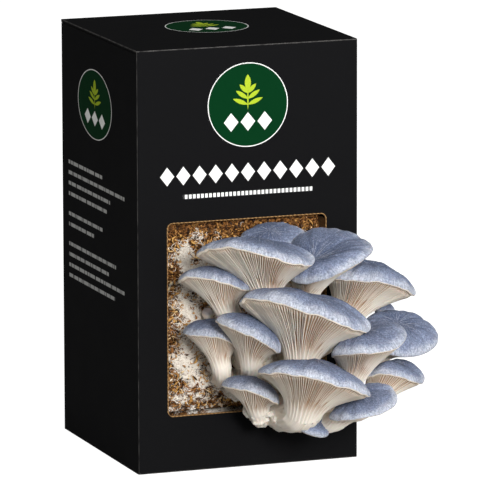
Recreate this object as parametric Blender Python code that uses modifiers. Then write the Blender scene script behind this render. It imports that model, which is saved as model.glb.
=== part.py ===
"""Oyster mushroom grow kit.

A tall carton with a hinged lid and a window in its front, a block of straw
substrate inside it, and the cluster of blue oyster mushrooms that grows out
through the window. The carton's front faces -Y, and the origin is the middle
of its underside. Sizes are in metres, written as millimetres times MM.
"""

import math
from collections import namedtuple

import bmesh
import bpy
from mathutils import Matrix, Vector

MM = 0.001

# Carton and lid
WIDTH = 137 * MM
DEPTH = 137 * MM
HEIGHT = 250 * MM
BOARD = 1.5 * MM
GAP = 0.3 * MM
CORNER = 1.3 * MM
TUCK_LENGTH = 17 * MM
TUCK_INSET = 6 * MM
TUCK_LEAN = math.radians(9)

# Window in the front wall, and the strips of board folded in along its sides
WINDOW_WIDTH = 98 * MM
WINDOW_BOTTOM = 33.5 * MM
WINDOW_TOP = 147.5 * MM
WINDOW_SHIFT = -0.7 * MM
WINDOW_CORNER = 3 * MM
STRIP_DEPTH = 13 * MM
STRIP_SETBACK = 0.3 * MM

# Substrate block, with the bulge that fills the window
BLOCK_CLEARANCE = 1.5 * MM
BLOCK_HEIGHT = 224 * MM
BLOCK_ROUND = 9 * MM
BULGE_RECESS = 4.5 * MM
BULGE_CLEARANCE = 1.2 * MM
BULGE_LUMP = 0.9 * MM

# Skin, gills and flesh of a cap
LIP_DROP = 1.6 * MM
LIP_INSET = 0.7 * MM
GILL_INSET = 1.7 * MM
GILL_RELIEF = 0.8 * MM
DOME_FULLNESS = 0.56
RIM_WAVE = 0.02

# Joined foot of the cluster
FOOT_VOXEL = 3.2 * MM
FOOT_STUB = 0.22
STUB_SWELL = 1.12
STEM_NARROWING = 0.45

FRONT = -DEPTH / 2
WALL_TOP = HEIGHT - BOARD - GAP
HINGE_Z = HEIGHT - BOARD - GAP / 2
BULGE_FACE = FRONT + BULGE_RECESS

# One mushroom, in millimetres and degrees. centre is the middle of the rim, and rim is how far the rim
# reaches from it to the sides, to the front and to the back. facing turns the front away from -Y towards
# +X, lifts the front, and lowers the right side. top is the height of the dome over the rim, and the dip
# in its middle. edge drops both sides of the rim, and lifts its front left as it drops its front right.
# neck and foot are the two ends of the stem with their radii. pole is where the streaks of the top meet,
# as shares of the rim's reach to the right and to the back, and sides is how many segments go round.
# root is the piece that the stem grows out of.
Mushroom = namedtuple(
    "Mushroom",
    "name centre rim facing top edge neck foot pole sides root",
    defaults=((0, 0.25), 22, "cluster_foot"),
)
MUSHROOMS = [
    Mushroom("top_left", (-12.5, -115, 135.5), (34, 24, 17), (-22, 14, 4), (9, 0), (2, 3),
             (0, -101, 107.5, 8.5), (4, -74, 70, 7)),
    Mushroom("top_back", (10, -80, 136), (20, 10, 15), (-15, -31, -9), (5, 0), (0, 0),
             (14, -76, 122, 6), (12, -72, 80, 5), sides=16),
    Mushroom("top_right", (35, -106, 132.5), (27, 22, 24), (10, -18, -20), (7, 3), (6, 0),
             (26, -97, 108.5, 8), (18, -74, 72, 6), pole=(-0.5, -0.2)),
    Mushroom("right_upper", (62, -109, 117), (28, 22, 20), (0, -1, 15), (9.5, 4), (5.5, 0),
             (50, -93, 89, 9), (20, -76, 62, 6)),
    Mushroom("right_tiny", (81.5, -79, 89), (6, 6, 6), (0, -5, -3), (4.5, 0), (0, 1),
             (76, -79, 80, 3), (56, -84, 58, 3), sides=12, root="stem_right_outer"),
    Mushroom("right_outer", (82, -100, 79), (25, 20, 19), (15, -30, -2), (7.5, 2), (0, 0.5),
             (70, -91, 64, 7), (26, -76, 54, 5)),
    Mushroom("right_middle", (50, -133, 81), (23, 20, 16), (0, 1, -16), (8.5, 0), (-2, 2.5),
             (45, -117, 58, 8), (22, -84, 44, 6)),
    Mushroom("centre", (13.5, -128, 102), (39, 26, 18), (-12, 10, 13), (11.5, 0), (1, 3.5),
             (18.5, -107, 69, 10), (12, -78, 54, 8)),
    Mushroom("lower_centre", (15.5, -140, 67), (34, 23, 18), (-5, 4, 14), (9, 0), (4.5, 1.5),
             (17, -115, 43, 12), (13, -86, 35, 9)),
    Mushroom("middle_left", (-15, -112, 89.5), (21, 16, 13), (-20, 5, 27), (9, 0), (2.5, 0),
             (-8.5, -96, 67.5, 6.5), (0, -74, 56, 6), sides=16),
    Mushroom("left_upper", (-31.5, -96, 117.5), (21, 16, 14), (-30, 18, 6), (8.5, 0), (2, 0.5),
             (-20.5, -88, 98.5, 7), (-4, -71, 64, 6), sides=16),
    Mushroom("left_lower", (-29.5, -88, 85.5), (16.5, 13, 10), (-30, 6, 15), (7.5, 0), (3.5, -1.5),
             (-22, -81.5, 65, 6), (-17, -66, 53, 4.5), sides=16),
    Mushroom("lower_left", (-11, -104, 53), (17.5, 14, 9), (-25, 12, 17), (8.5, 0), (2, 0),
             (-3, -93, 40, 7), (0, -89, 33.5, 5.5), sides=16),
    Mushroom("right_lower", (75, -111, 58), (19, 15, 11), (10, 0, 5), (7.5, 0), (1, 3),
             (63, -101, 39, 6), (28, -82, 38, 5), sides=16),
    Mushroom("bottom_right", (47, -132, 46.5), (21, 17, 15), (0, -12, -20), (5, 0), (0.5, 2),
             (37.5, -116, 34.5, 6), (26, -84, 32, 5), sides=16),
    Mushroom("bottom_tiny", (25, -112, 30), (9.5, 8, 7), (10, -32, 1), (4, 0), (0.5, 1),
             (22, -102, 29, 3.5), (17, -94, 32, 3.5), sides=12,
             root="stem_lower_centre"),
]

# Pieces that grew against a neighbour, and the neighbour whose shape they give way to
PRESSED = [
    ("cap_right_upper", "cap_top_right"),
    ("cap_top_back", "cap_top_right"),
    ("cap_left_upper", "cap_top_left"),
    ("cap_left_lower", "stem_left_upper"),
    ("cap_left_lower", "cap_middle_left"),
    ("cap_middle_left", "cap_centre"),
    ("cap_centre", "cap_top_left"),
    ("cap_centre", "stem_top_left"),
    ("cap_right_middle", "cap_centre"),
    ("cap_right_tiny", "cap_right_outer"),
    ("cap_bottom_right", "stem_right_middle"),
    ("cap_bottom_right", "cap_right_middle"),
    ("cap_bottom_tiny", "stem_lower_centre"),
    ("stem_bottom_right", "cap_bottom_tiny"),
    ("stem_bottom_right", "stem_bottom_tiny"),
    ("stem_bottom_tiny", "cluster_foot"),
]

# Knobs of the joined foot that belong to no stem: middle and radius, in millimetres
FOOT_KNOBS = [
    ((12, -71, 60), 9),
    ((12, -74, 48), 11),
    ((14, -82, 38), 9),
    ((6, -83, 37), 7),
    ((20, -76, 42), 9),
    ((-2, -70, 52), 7),
    ((-11, -67, 54), 5),
    ((-17, -66, 53), 5),
]

# Bud that sits on the bulge: middle and half sizes, in millimetres
BUD_CENTRE = (-25.6, -69.3, 93)
BUD_SIZE = (3.2, 5, 3.4)


def material(name, colour, roughness, metallic=0.0):
    made = bpy.data.materials.new(name)
    made.use_nodes = True
    shader = made.node_tree.nodes["Principled BSDF"]
    shader.inputs["Base Color"].default_value = (*colour, 1)
    shader.inputs["Roughness"].default_value = roughness
    shader.inputs["Metallic"].default_value = metallic
    return made


def add_object(name, mesh, collection, finish=None):
    made = bpy.data.objects.new(name, mesh)
    collection.objects.link(made)
    if finish:
        mesh.materials.append(finish)
    return made


def as_cutter(obj):
    obj.hide_render = True
    obj.display_type = "WIRE"
    return obj


def box_mesh(name, low, high, round_axis=None, radius=0.0, segments=2):
    """A box between two corners. The four edges along round_axis, or all edges for 'ALL', are rounded."""
    bm = bmesh.new()
    bmesh.ops.create_cube(bm, size=1)
    low, high = Vector(low), Vector(high)
    bmesh.ops.scale(bm, vec=high - low, verts=bm.verts)
    bmesh.ops.translate(bm, vec=(low + high) / 2, verts=bm.verts)
    if round_axis:
        edges = [edge for edge in bm.edges if round_axis == "ALL" or runs_along(edge, round_axis)]
        bmesh.ops.bevel(
            bm, geom=edges, offset=radius, segments=segments, profile=0.5, affect="EDGES"
        )
    mesh = bpy.data.meshes.new(name)
    bm.to_mesh(mesh)
    bm.free()
    return mesh


def runs_along(edge, axis):
    run = (edge.verts[1].co - edge.verts[0].co).normalized()
    return abs(run["XYZ".index(axis)]) > 0.99


def boolean(obj, other, operation="DIFFERENCE"):
    modifier = obj.modifiers.new(f"{operation.title()} {other.name}", "BOOLEAN")
    modifier.operation = operation
    modifier.object = other
    modifier.solver = "EXACT"
    modifier.use_self = True


def evaluated_mesh(obj):
    graph = bpy.context.evaluated_depsgraph_get()
    return bpy.data.meshes.new_from_object(obj.evaluated_get(graph))


def swollen_copy(obj, name, amount, cutters):
    """The object's shape grown outwards by amount: it cuts a neighbour back to a clear gap."""
    mesh = evaluated_mesh(obj)
    bm = bmesh.new()
    bm.from_mesh(mesh)
    bm.normal_update()
    for vertex in bm.verts:
        vertex.co += vertex.normal * amount
    bm.to_mesh(mesh)
    bm.free()
    return as_cutter(add_object(name, mesh, cutters))


def carton(parts, cutters, finish):
    """Four walls and a bottom, open at the top, with the window and its two folded strips."""
    half = WIDTH / 2
    shell = add_object(
        "carton",
        box_mesh("carton", (-half, FRONT, 0), (half, -FRONT, HEIGHT), "Z", CORNER),
        parts,
        finish,
    )
    inside = box_mesh(
        "carton_inside",
        (-half + BOARD, FRONT + BOARD, BOARD),
        (half - BOARD, -FRONT - BOARD, HEIGHT + BOARD),
    )
    lid_seat = box_mesh(
        "lid_seat", (-WIDTH, FRONT + BOARD, WALL_TOP), (WIDTH, DEPTH, HEIGHT + 2 * BOARD)
    )
    left = WINDOW_SHIFT - WINDOW_WIDTH / 2
    right = WINDOW_SHIFT + WINDOW_WIDTH / 2
    window = box_mesh(
        "window",
        (left, FRONT - BOARD, WINDOW_BOTTOM),
        (right, FRONT + 2 * BOARD, WINDOW_TOP),
        "Y",
        WINDOW_CORNER,
        4,
    )
    for mesh in (inside, lid_seat, window):
        boolean(shell, as_cutter(add_object(mesh.name, mesh, cutters)))
    for name, edge, side in (("strip_left", left, -1), ("strip_right", right, 1)):
        inner = edge + side * STRIP_SETBACK
        across = sorted((inner, inner + side * BOARD))
        strip = box_mesh(
            name,
            (across[0], FRONT + BOARD / 2, WINDOW_BOTTOM + WINDOW_CORNER),
            (across[1], FRONT + STRIP_DEPTH, WINDOW_TOP - WINDOW_CORNER),
            "X",
            WINDOW_CORNER / 4,
        )
        boolean(shell, as_cutter(add_object(name, strip, cutters)), "UNION")
    return shell


def lid(parts, cutters, finish):
    """The top panel, hinged along its back edge, with a flap that tucks in behind the front wall."""
    half = WIDTH / 2
    reach = DEPTH - BOARD - GAP
    panel = add_object(
        "lid",
        box_mesh("lid", (-half, -reach, GAP / 2), (half, 0, GAP / 2 + BOARD), "Z", CORNER / 2),
        parts,
        finish,
    )
    panel.location = (0, -FRONT, HINGE_Z)
    flap_half = half - TUCK_INSET
    flap = box_mesh(
        "tuck_flap", (-flap_half, 0, -TUCK_LENGTH), (flap_half, BOARD, BOARD / 2), "Y", 1.5 * BOARD
    )
    tuck = as_cutter(add_object("tuck_flap", flap, cutters))
    tuck.parent = panel
    tuck.location = (0, -reach + BOARD * math.sin(TUCK_LEAN), GAP / 2 + BOARD / 4)
    tuck.rotation_euler = (TUCK_LEAN, 0, 0)
    boolean(panel, tuck, "UNION")
    return panel


def lump(point):
    """Rise and fall of the substrate's surface at a point, from -1 to 1."""
    x, z = point.x / MM, point.z / MM
    return (
        0.5 * math.sin(x / 5.3 + 1.1 * math.sin(z / 9.1))
        + 0.5 * math.sin(z / 6.1 + 1.3 * math.sin(x / 7.7) + 0.8)
    )


def substrate_block(parts, cutters, finish):
    """The block that fills the carton, and the lumpy bulge of it that fills the window."""
    half = WIDTH / 2 - BOARD - BLOCK_CLEARANCE
    front = FRONT + STRIP_DEPTH + BLOCK_CLEARANCE
    back = -FRONT - BOARD - BLOCK_CLEARANCE
    floor = BOARD + GAP
    block = add_object(
        "substrate_block",
        box_mesh(
            "substrate_block",
            (-half, front, floor),
            (half, back, floor + BLOCK_HEIGHT),
            "ALL",
            BLOCK_ROUND,
            3,
        ),
        parts,
        finish,
    )
    reach = WINDOW_WIDTH / 2 - BULGE_CLEARANCE
    low = Vector((WINDOW_SHIFT - reach, BULGE_FACE, WINDOW_BOTTOM + BULGE_CLEARANCE))
    high = Vector((WINDOW_SHIFT + reach, front + BLOCK_ROUND, WINDOW_TOP - BULGE_CLEARANCE))
    bulge = as_cutter(add_object("bulge", bulge_mesh(low, high), cutters))
    boolean(block, bulge, "UNION")
    return block


def bulge_mesh(low, high):
    """A cushion whose front face is a lumpy grid and whose edges fall away by BLOCK_ROUND."""
    columns, rows = 8, 10
    bm = bmesh.new()
    bmesh.ops.create_grid(bm, x_segments=columns, y_segments=rows, size=0.5)
    size = high - low
    for vertex in bm.verts:
        u, v = vertex.co.x + 0.5, vertex.co.y + 0.5
        point = Vector((low.x + u * size.x, low.y, low.z + v * size.z))
        edge = min(u, 1 - u, v, 1 - v) * min(columns, rows)
        fall = BLOCK_ROUND / 3 * max(0.0, 1 - edge)
        point.y += fall + BULGE_LUMP * (1 - lump(point)) / 2
        vertex.co = point
    outline = [edge for edge in bm.edges if edge.is_boundary]
    skirt = bmesh.ops.extrude_edge_only(bm, edges=outline)["geom"]
    rim = [part for part in skirt if isinstance(part, bmesh.types.BMVert)]
    for vertex in rim:
        vertex.co.y = high.y
    bmesh.ops.contextual_create(bm, geom=[edge for edge in bm.edges if edge.is_boundary])
    bmesh.ops.recalc_face_normals(bm, faces=bm.faces)
    mesh = bpy.data.meshes.new("bulge")
    bm.to_mesh(mesh)
    bm.free()
    return mesh


def bezier(a, b, c, d, t):
    s = 1 - t
    return a * s**3 + b * (3 * s * s * t) + c * (3 * s * t * t) + d * t**3


def cap_frame(mushroom):
    """Matrix from the cap's own frame, front at -Y and up at +Z, to the world."""
    turn, tilt, roll = (math.radians(angle) for angle in mushroom.facing)
    return (
        Matrix.Translation(Vector(mushroom.centre) * MM)
        @ Matrix.Rotation(turn, 4, "Z")
        @ Matrix.Rotation(roll, 4, "Y")
        @ Matrix.Rotation(-tilt, 4, "X")
    )


def rim_point(mushroom, angle):
    """Point of the rim in the cap's own frame. The angle is 0 at the front and 90 degrees at the right."""
    half_width, front, back = mushroom.rim
    arch, twist = mushroom.edge
    phase = sum(mushroom.centre)
    wave = RIM_WAVE * (math.sin(3 * angle + phase) + 0.6 * math.sin(5 * angle + 2 * phase))
    reach = (front + back) / 2 + (front - back) / 2 * math.cos(angle)
    x = half_width * math.sin(angle) * (1 + wave)
    y = -reach * math.cos(angle) * (1 + wave)
    z = 0.5 * half_width * wave - arch * math.sin(angle) ** 2 - twist * math.sin(2 * angle)
    return Vector((x, y, z)) * MM


def pole_point(mushroom):
    """Where the streaks of the top meet, in the cap's own frame and in the plane of the rim."""
    half_width, _, back = mushroom.rim
    return Vector((mushroom.pole[0] * half_width, mushroom.pole[1] * back, 0)) * MM


def stem_line(mushroom):
    """Control points of the stem's centreline, from the foot to the neck."""
    foot, neck = Vector(mushroom.foot[:3]) * MM, Vector(mushroom.neck[:3]) * MM
    third = (neck - foot).length / 3
    upwards = (cap_frame(mushroom) @ pole_point(mushroom) - neck).normalized()
    short = (neck - foot).length < 2.5 * mushroom.neck[3] * MM
    upright = short or mushroom.root != "cluster_foot"
    leave = 2 * upwards if upright else Vector((0, -1, 0))
    outwards = (leave + (neck - foot).normalized()).normalized()
    return foot, foot + outwards * third, neck - upwards * third, neck


def ring_axes(along, frame):
    """Right and front directions of a ring across the stem, kept in step with the cap's own."""
    right = frame.to_3x3() @ Vector((1, 0, 0))
    right = (right - along * right.dot(along)).normalized()
    return right, right.cross(along).normalized()


def neck_ring(mushroom, count, drop=0.0):
    """Points around the neck, where the gills end and the stem begins."""
    _, _, below, neck = stem_line(mushroom)
    along = (neck - below).normalized()
    right, front = ring_axes(along, cap_frame(mushroom))
    radius = mushroom.neck[3] * MM
    points = []
    for step in range(count):
        angle = 2 * math.pi * step / count
        points.append(
            neck - along * drop + (right * math.sin(angle) + front * math.cos(angle)) * radius
        )
    return points, along


def cap_rings(mushroom):
    """Rings of points from the pole of the cap, over the rim and lip, and down the gills to the neck."""
    count = mushroom.sides
    frame = cap_frame(mushroom)
    pole = pole_point(mushroom)
    rims = [rim_point(mushroom, 2 * math.pi * step / count) for step in range(count)]
    dome, dip = mushroom.top
    rings = []
    for share in (0.4, 0.8, 0.96):
        rise = dome * (1 - share**2.2) ** DOME_FULLNESS
        hollow = dip * math.exp(-((share / 0.4) ** 2))
        height = Vector((0, 0, (rise - hollow) * MM))
        rings.append([frame @ (pole + (rim - pole) * share + height) for rim in rims])
    rings.append([frame @ rim for rim in rims])
    inward = [(pole - rim).normalized() for rim in rims]
    lips = [rim + way * LIP_INSET - Vector((0, 0, LIP_DROP)) for rim, way in zip(rims, inward)]
    rings.append([frame @ lip for lip in lips])
    starts = [
        frame @ (rim + way * GILL_INSET - Vector((0, 0, 0.8 * LIP_DROP)))
        for rim, way in zip(rims, inward)
    ]
    ends, along = neck_ring(mushroom, count)
    for share in (0.0, 0.35, 0.7, 1.0):
        ring = []
        for step, (start, end) in enumerate(zip(starts, ends)):
            run = end - start
            height = -run.dot(along)
            across = run + along * height
            first = start + across * 0.33 - along * (0.2 * height)
            second = end + along * (0.4 * height) - across * 0.05
            point = bezier(start, first, second, end, share)
            relief = GILL_RELIEF * math.sin(math.pi * share) * (-1) ** step
            ring.append(point - along * relief)
        rings.append(ring)
    top = frame @ (pole + Vector((0, 0, (dome - dip) * MM)))
    return top, rings


def loft(name, rings, first, last):
    """A closed skin over rings of equal count, each end closed by a fan to a point."""
    bm = bmesh.new()
    rows = [[bm.verts.new(point) for point in ring] for ring in rings]
    count = len(rings[0])
    start, end = bm.verts.new(first), bm.verts.new(last)
    for step in range(count):
        after = (step + 1) % count
        bm.faces.new((start, rows[0][step], rows[0][after]))
        bm.faces.new((end, rows[-1][after], rows[-1][step]))
        for upper, lower in zip(rows, rows[1:]):
            bm.faces.new((upper[step], lower[step], lower[after], upper[after]))
    bmesh.ops.recalc_face_normals(bm, faces=bm.faces)
    bmesh.ops.triangulate(bm, faces=bm.faces)
    mesh = bpy.data.meshes.new(name)
    bm.to_mesh(mesh)
    bm.free()
    mesh.shade_smooth()
    return mesh


def cap(mushroom, parts, finish):
    top, rings = cap_rings(mushroom)
    neck = Vector(mushroom.neck[:3]) * MM
    name = f"cap_{mushroom.name}"
    return add_object(name, loft(name, rings, top, neck), parts, finish)


def stem(mushroom, parts, finish):
    """The stem from inside the piece that it grows out of, up to just under the neck."""
    count = max(8, mushroom.sides // 2)
    line = stem_line(mushroom)
    frame = cap_frame(mushroom)
    rings = []
    rows = 4
    low = FOOT_STUB / 2 if mushroom.root == "cluster_foot" else 0
    for row in range(rows):
        t = low + (1 - low) * row / rows
        point = bezier(*line, t)
        along = (bezier(*line, t + 0.01) - bezier(*line, t)).normalized()
        right, front = ring_axes(along, frame)
        full = mushroom.foot[3] * (1 - t) + mushroom.neck[3] * t
        radius = full * (1 - STEM_NARROWING * (1 - t) ** 4) * MM
        ring = []
        for step in range(count):
            angle = 2 * math.pi * step / count
            ring.append(point + (right * math.sin(angle) + front * math.cos(angle)) * radius)
        rings.append(ring)
    last, along = neck_ring(mushroom, count, drop=GAP)
    rings.append(last)
    name = f"stem_{mushroom.name}"
    first = bezier(*line, low)
    return add_object(name, loft(name, rings, first, line[3] - along * GAP), parts, finish)


def joined_foot(parts, cutters, finish):
    """The lumpy foot where all the stems grow together, with a short stub for each."""
    bm = bmesh.new()
    knobs = [(Vector(middle) * MM, radius * MM) for middle, radius in FOOT_KNOBS]
    for mushroom in MUSHROOMS:
        if mushroom.root != "cluster_foot":
            continue
        line = stem_line(mushroom)
        for step in range(4):
            t = FOOT_STUB * step / 3
            knobs.append((bezier(*line, t), mushroom.foot[3] * STUB_SWELL * MM))
    for middle, radius in knobs:
        made = bmesh.ops.create_icosphere(bm, subdivisions=2, radius=radius)
        bmesh.ops.translate(bm, vec=middle, verts=made["verts"])
    mesh = bpy.data.meshes.new("foot_knobs")
    bm.to_mesh(mesh)
    bm.free()
    knobs = as_cutter(add_object("foot_knobs", mesh, cutters))
    remesh = knobs.modifiers.new("Join", "REMESH")
    remesh.mode = "VOXEL"
    remesh.voxel_size = FOOT_VOXEL
    smooth = knobs.modifiers.new("Smooth", "SMOOTH")
    smooth.factor = 0.5
    smooth.iterations = 2
    decimate = knobs.modifiers.new("Thin out", "DECIMATE")
    decimate.ratio = 0.16
    decimate.use_collapse_triangulate = True
    foot = add_object("cluster_foot", evaluated_mesh(knobs), parts, finish)
    return foot


def bud(parts, finish):
    """A young mushroom, still a small round button."""
    bm = bmesh.new()
    bmesh.ops.create_icosphere(bm, subdivisions=2, radius=MM)
    bmesh.ops.scale(bm, vec=BUD_SIZE, verts=bm.verts)
    bmesh.ops.translate(bm, vec=Vector(BUD_CENTRE) * MM, verts=bm.verts)
    mesh = bpy.data.meshes.new("bud")
    bm.to_mesh(mesh)
    bm.free()
    mesh.shade_smooth()
    return add_object("bud", mesh, parts, finish)


def wall_clearance(cutters):
    """The front wall below the window, grown by the gap: the foot hangs over it but stays clear."""
    mesh = box_mesh(
        "wall_clearance",
        (-WIDTH, FRONT - GAP, -HEIGHT),
        (WIDTH, DEPTH, WINDOW_BOTTOM + GAP),
    )
    return as_cutter(add_object("wall_clearance", mesh, cutters))


def main():
    for obj in list(bpy.data.objects):
        bpy.data.objects.remove(obj, do_unlink=True)
    parts = bpy.data.collections.new("oyster_mushroom_grow_kit")
    cutters = bpy.data.collections.new("cutters")
    for collection in (parts, cutters):
        bpy.context.scene.collection.children.link(collection)

    board = material("printed_board", (0.012, 0.012, 0.013), 0.45)
    straw = material("straw_and_mycelium", (0.45, 0.33, 0.2), 0.9)
    skin = material("cap_skin", (0.2, 0.25, 0.36), 0.7)
    flesh = material("pale_flesh", (0.72, 0.64, 0.53), 0.7)

    carton(parts, cutters, board)
    lid(parts, cutters, board)
    block = substrate_block(parts, cutters, straw)
    block_clearance = swollen_copy(block, "block_clearance", GAP, cutters)
    foot = joined_foot(parts, cutters, flesh)
    grown = {"cluster_foot": foot}
    for mushroom in MUSHROOMS:
        grown[f"cap_{mushroom.name}"] = cap(mushroom, parts, skin)
        grown[f"stem_{mushroom.name}"] = stem(mushroom, parts, flesh)
    roots = [(f"stem_{mushroom.name}", mushroom.root) for mushroom in MUSHROOMS]
    clearances = {
        name: swollen_copy(grown[name], f"{name}_clearance", GAP, cutters)
        for name in sorted({neighbour for _, neighbour in roots + PRESSED})
    }
    for name, neighbour in roots + PRESSED:
        boolean(grown[name], clearances[neighbour])
    for piece in (foot, bud(parts, skin)):
        boolean(piece, block_clearance)
    boolean(foot, wall_clearance(cutters))


main()
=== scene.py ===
"""Looks of the oyster mushroom grow kit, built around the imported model.

Shapes are worked out in millimetres and scaled by MM when a mesh is made. The carton's front faces -Y.
"""

import math
from collections import namedtuple

import bmesh
import bpy
import numpy as np
from mathutils import Matrix, Vector, noise


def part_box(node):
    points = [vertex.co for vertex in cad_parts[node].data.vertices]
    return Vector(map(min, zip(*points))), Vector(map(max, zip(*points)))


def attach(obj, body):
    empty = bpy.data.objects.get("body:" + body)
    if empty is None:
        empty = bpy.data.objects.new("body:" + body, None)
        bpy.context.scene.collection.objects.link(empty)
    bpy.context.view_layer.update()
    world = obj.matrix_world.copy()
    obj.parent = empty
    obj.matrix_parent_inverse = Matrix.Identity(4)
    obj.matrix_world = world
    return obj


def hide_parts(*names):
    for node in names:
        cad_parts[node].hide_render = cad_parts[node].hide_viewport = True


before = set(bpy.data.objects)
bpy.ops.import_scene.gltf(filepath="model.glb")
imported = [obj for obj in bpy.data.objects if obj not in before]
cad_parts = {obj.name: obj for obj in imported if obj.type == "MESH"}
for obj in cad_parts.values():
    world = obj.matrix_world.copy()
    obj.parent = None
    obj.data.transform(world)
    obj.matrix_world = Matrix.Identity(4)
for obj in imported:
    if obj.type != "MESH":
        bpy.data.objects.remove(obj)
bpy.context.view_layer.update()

MM = 0.001

# Carton and lid, as in the model
WIDTH = 137
DEPTH = 137
HEIGHT = 250
BOARD = 1.5
GAP = 0.3
CORNER = 1.3
TUCK_LENGTH = 17
TUCK_INSET = 6
TUCK_LEAN = math.radians(9)
WINDOW_WIDTH = 98
WINDOW_BOTTOM = 33.5
WINDOW_TOP = 147.5
WINDOW_SHIFT = -0.7
WINDOW_CORNER = 3
STRIP_DEPTH = 13
STRIP_SETBACK = 0.3
STRIP_CORNER = 2
FRONT = -DEPTH / 2
WALL_TOP = HEIGHT - BOARD - GAP
HINGE_Z = HEIGHT - BOARD - GAP / 2
WINDOW_LEFT = WINDOW_SHIFT - WINDOW_WIDTH / 2
WINDOW_RIGHT = WINDOW_SHIFT + WINDOW_WIDTH / 2
CUT_SOFTNESS = 0.22
WINDOW_SLACK = 0.05
OUTER_LAYER = 0.3

# Substrate, with a white streak on the left, brown along the window's edges, and painted shade that turns it
# brown below the window's top
BULGE_FACE = FRONT + 4.5
BULGE_CLEARANCE = 0.5
BULGE_FALL = 1.6
BULGE_FALL_REACH = 9
BULGE_COLUMNS = 150
BULGE_ROWS = 176
STREAK_X = -35
STREAK_WIDTH = 8
BROWN_EDGE = 11
TOP_PAINTED_SHADE = 26
BLOCK_VOXEL = 3
BLOCK_FRONT_INSET = 3

# Straw flakes and mycelium threads
FLAKE_SEED = 41
FLAKES = 4800
FLAKE_INSET = 2.5
FLAKE_POINTS = 5
FLAKE_SHADOW = 16
TOP_FLAKE_SEED = 43
TOP_FLAKES = 700
TOP_FLAKE_INSET = 8
THREAD_SEED = 47
THREADS = 1900
THREAD_INSET = 5
THREAD_EDGE = 3
THREAD_POINTS = 7

# Caps and stems, as in the model, with the finer relief that only shows here
LIP_DROP = 1.6
LIP_INSET = 0.7
GILL_INSET = 1.7
DOME_FULLNESS = 0.56
RIM_WAVE = 0.02
RIM_FRILL = 0.01
GILL_DEPTH = 0.046
GILL_THICKNESS = 0.23
GILL_WANDER = 0.22
GILL_COLUMNS = 8
MANY_GILLS = 50
GILL_ROWS = 24
SMALL_GILL_ROWS = 18
SKIN_ROWS = 15
LIP_ROWS = 4
STEM_ROWS = 36
STEM_RIDGES = 18
STEM_COLUMNS = 4 * STEM_RIDGES
STEM_RIDGE_HEIGHT = 0.03
STEM_SWELL = 0.16
STEM_SWELL_AT = 0.12
STEM_SWELL_LENGTH = 0.16
FOOT_STUB = 0.22
STUB_BALLS = 6
STUB_SWELL = 1.12
FOOT_VOXEL = 0.9

# Soft random relief is the sum of a few waves, each starting anywhere in a turn
RIPPLE_WAVES = 7
ANY_TURN = 6.3

# Waves round a rim: how many go round, how far each is turned, and its height
RIM_WAVES = ((3, 1, 1), (5, 2, 0.6))
RIM_FRILLS = ((9, 3, 1), (14, 5, 0.8), (23, 7, 0.5))

# Camera: the photograph's viewing angle, with a long lens
VIEW_TURN = math.radians(-20.214)
VIEW_RISE = math.radians(10.617)
VIEW_ROLL = math.radians(0.139)
VIEW_DISTANCE = 3.617
VIEW_TARGET = Vector((0.0263, 0, 0.1153))
SENSOR = 36
LENS = 436.9

# Studio: a glow is how bright the floor or the backdrop looks to the camera
FLOOR_GAP = 0.1
FLOOR_GLOW = 0.92
BACKDROP_GLOW = 1.05
SKY_LOW = 0.12
SKY_RISE = 0.68

# Lamps, each with its place, what it points at, its size and its power
LAMPS = {
    "key": ((1.1, -1.9, 0.35), (0.02, -0.1, 0.1), 0.7, 7),
    "front": ((-0.1, -2.3, 0.85), (0, -0.1, 0.1), 0.6, 60),
    "top": ((0.2, -1.0, 1.5), (0, 0, 0.1), 1.0, 2),
    "left": ((-1.8, 0.9, 0.3), (-0.07, 0, 0.12), 0.8, 5),
}

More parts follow.
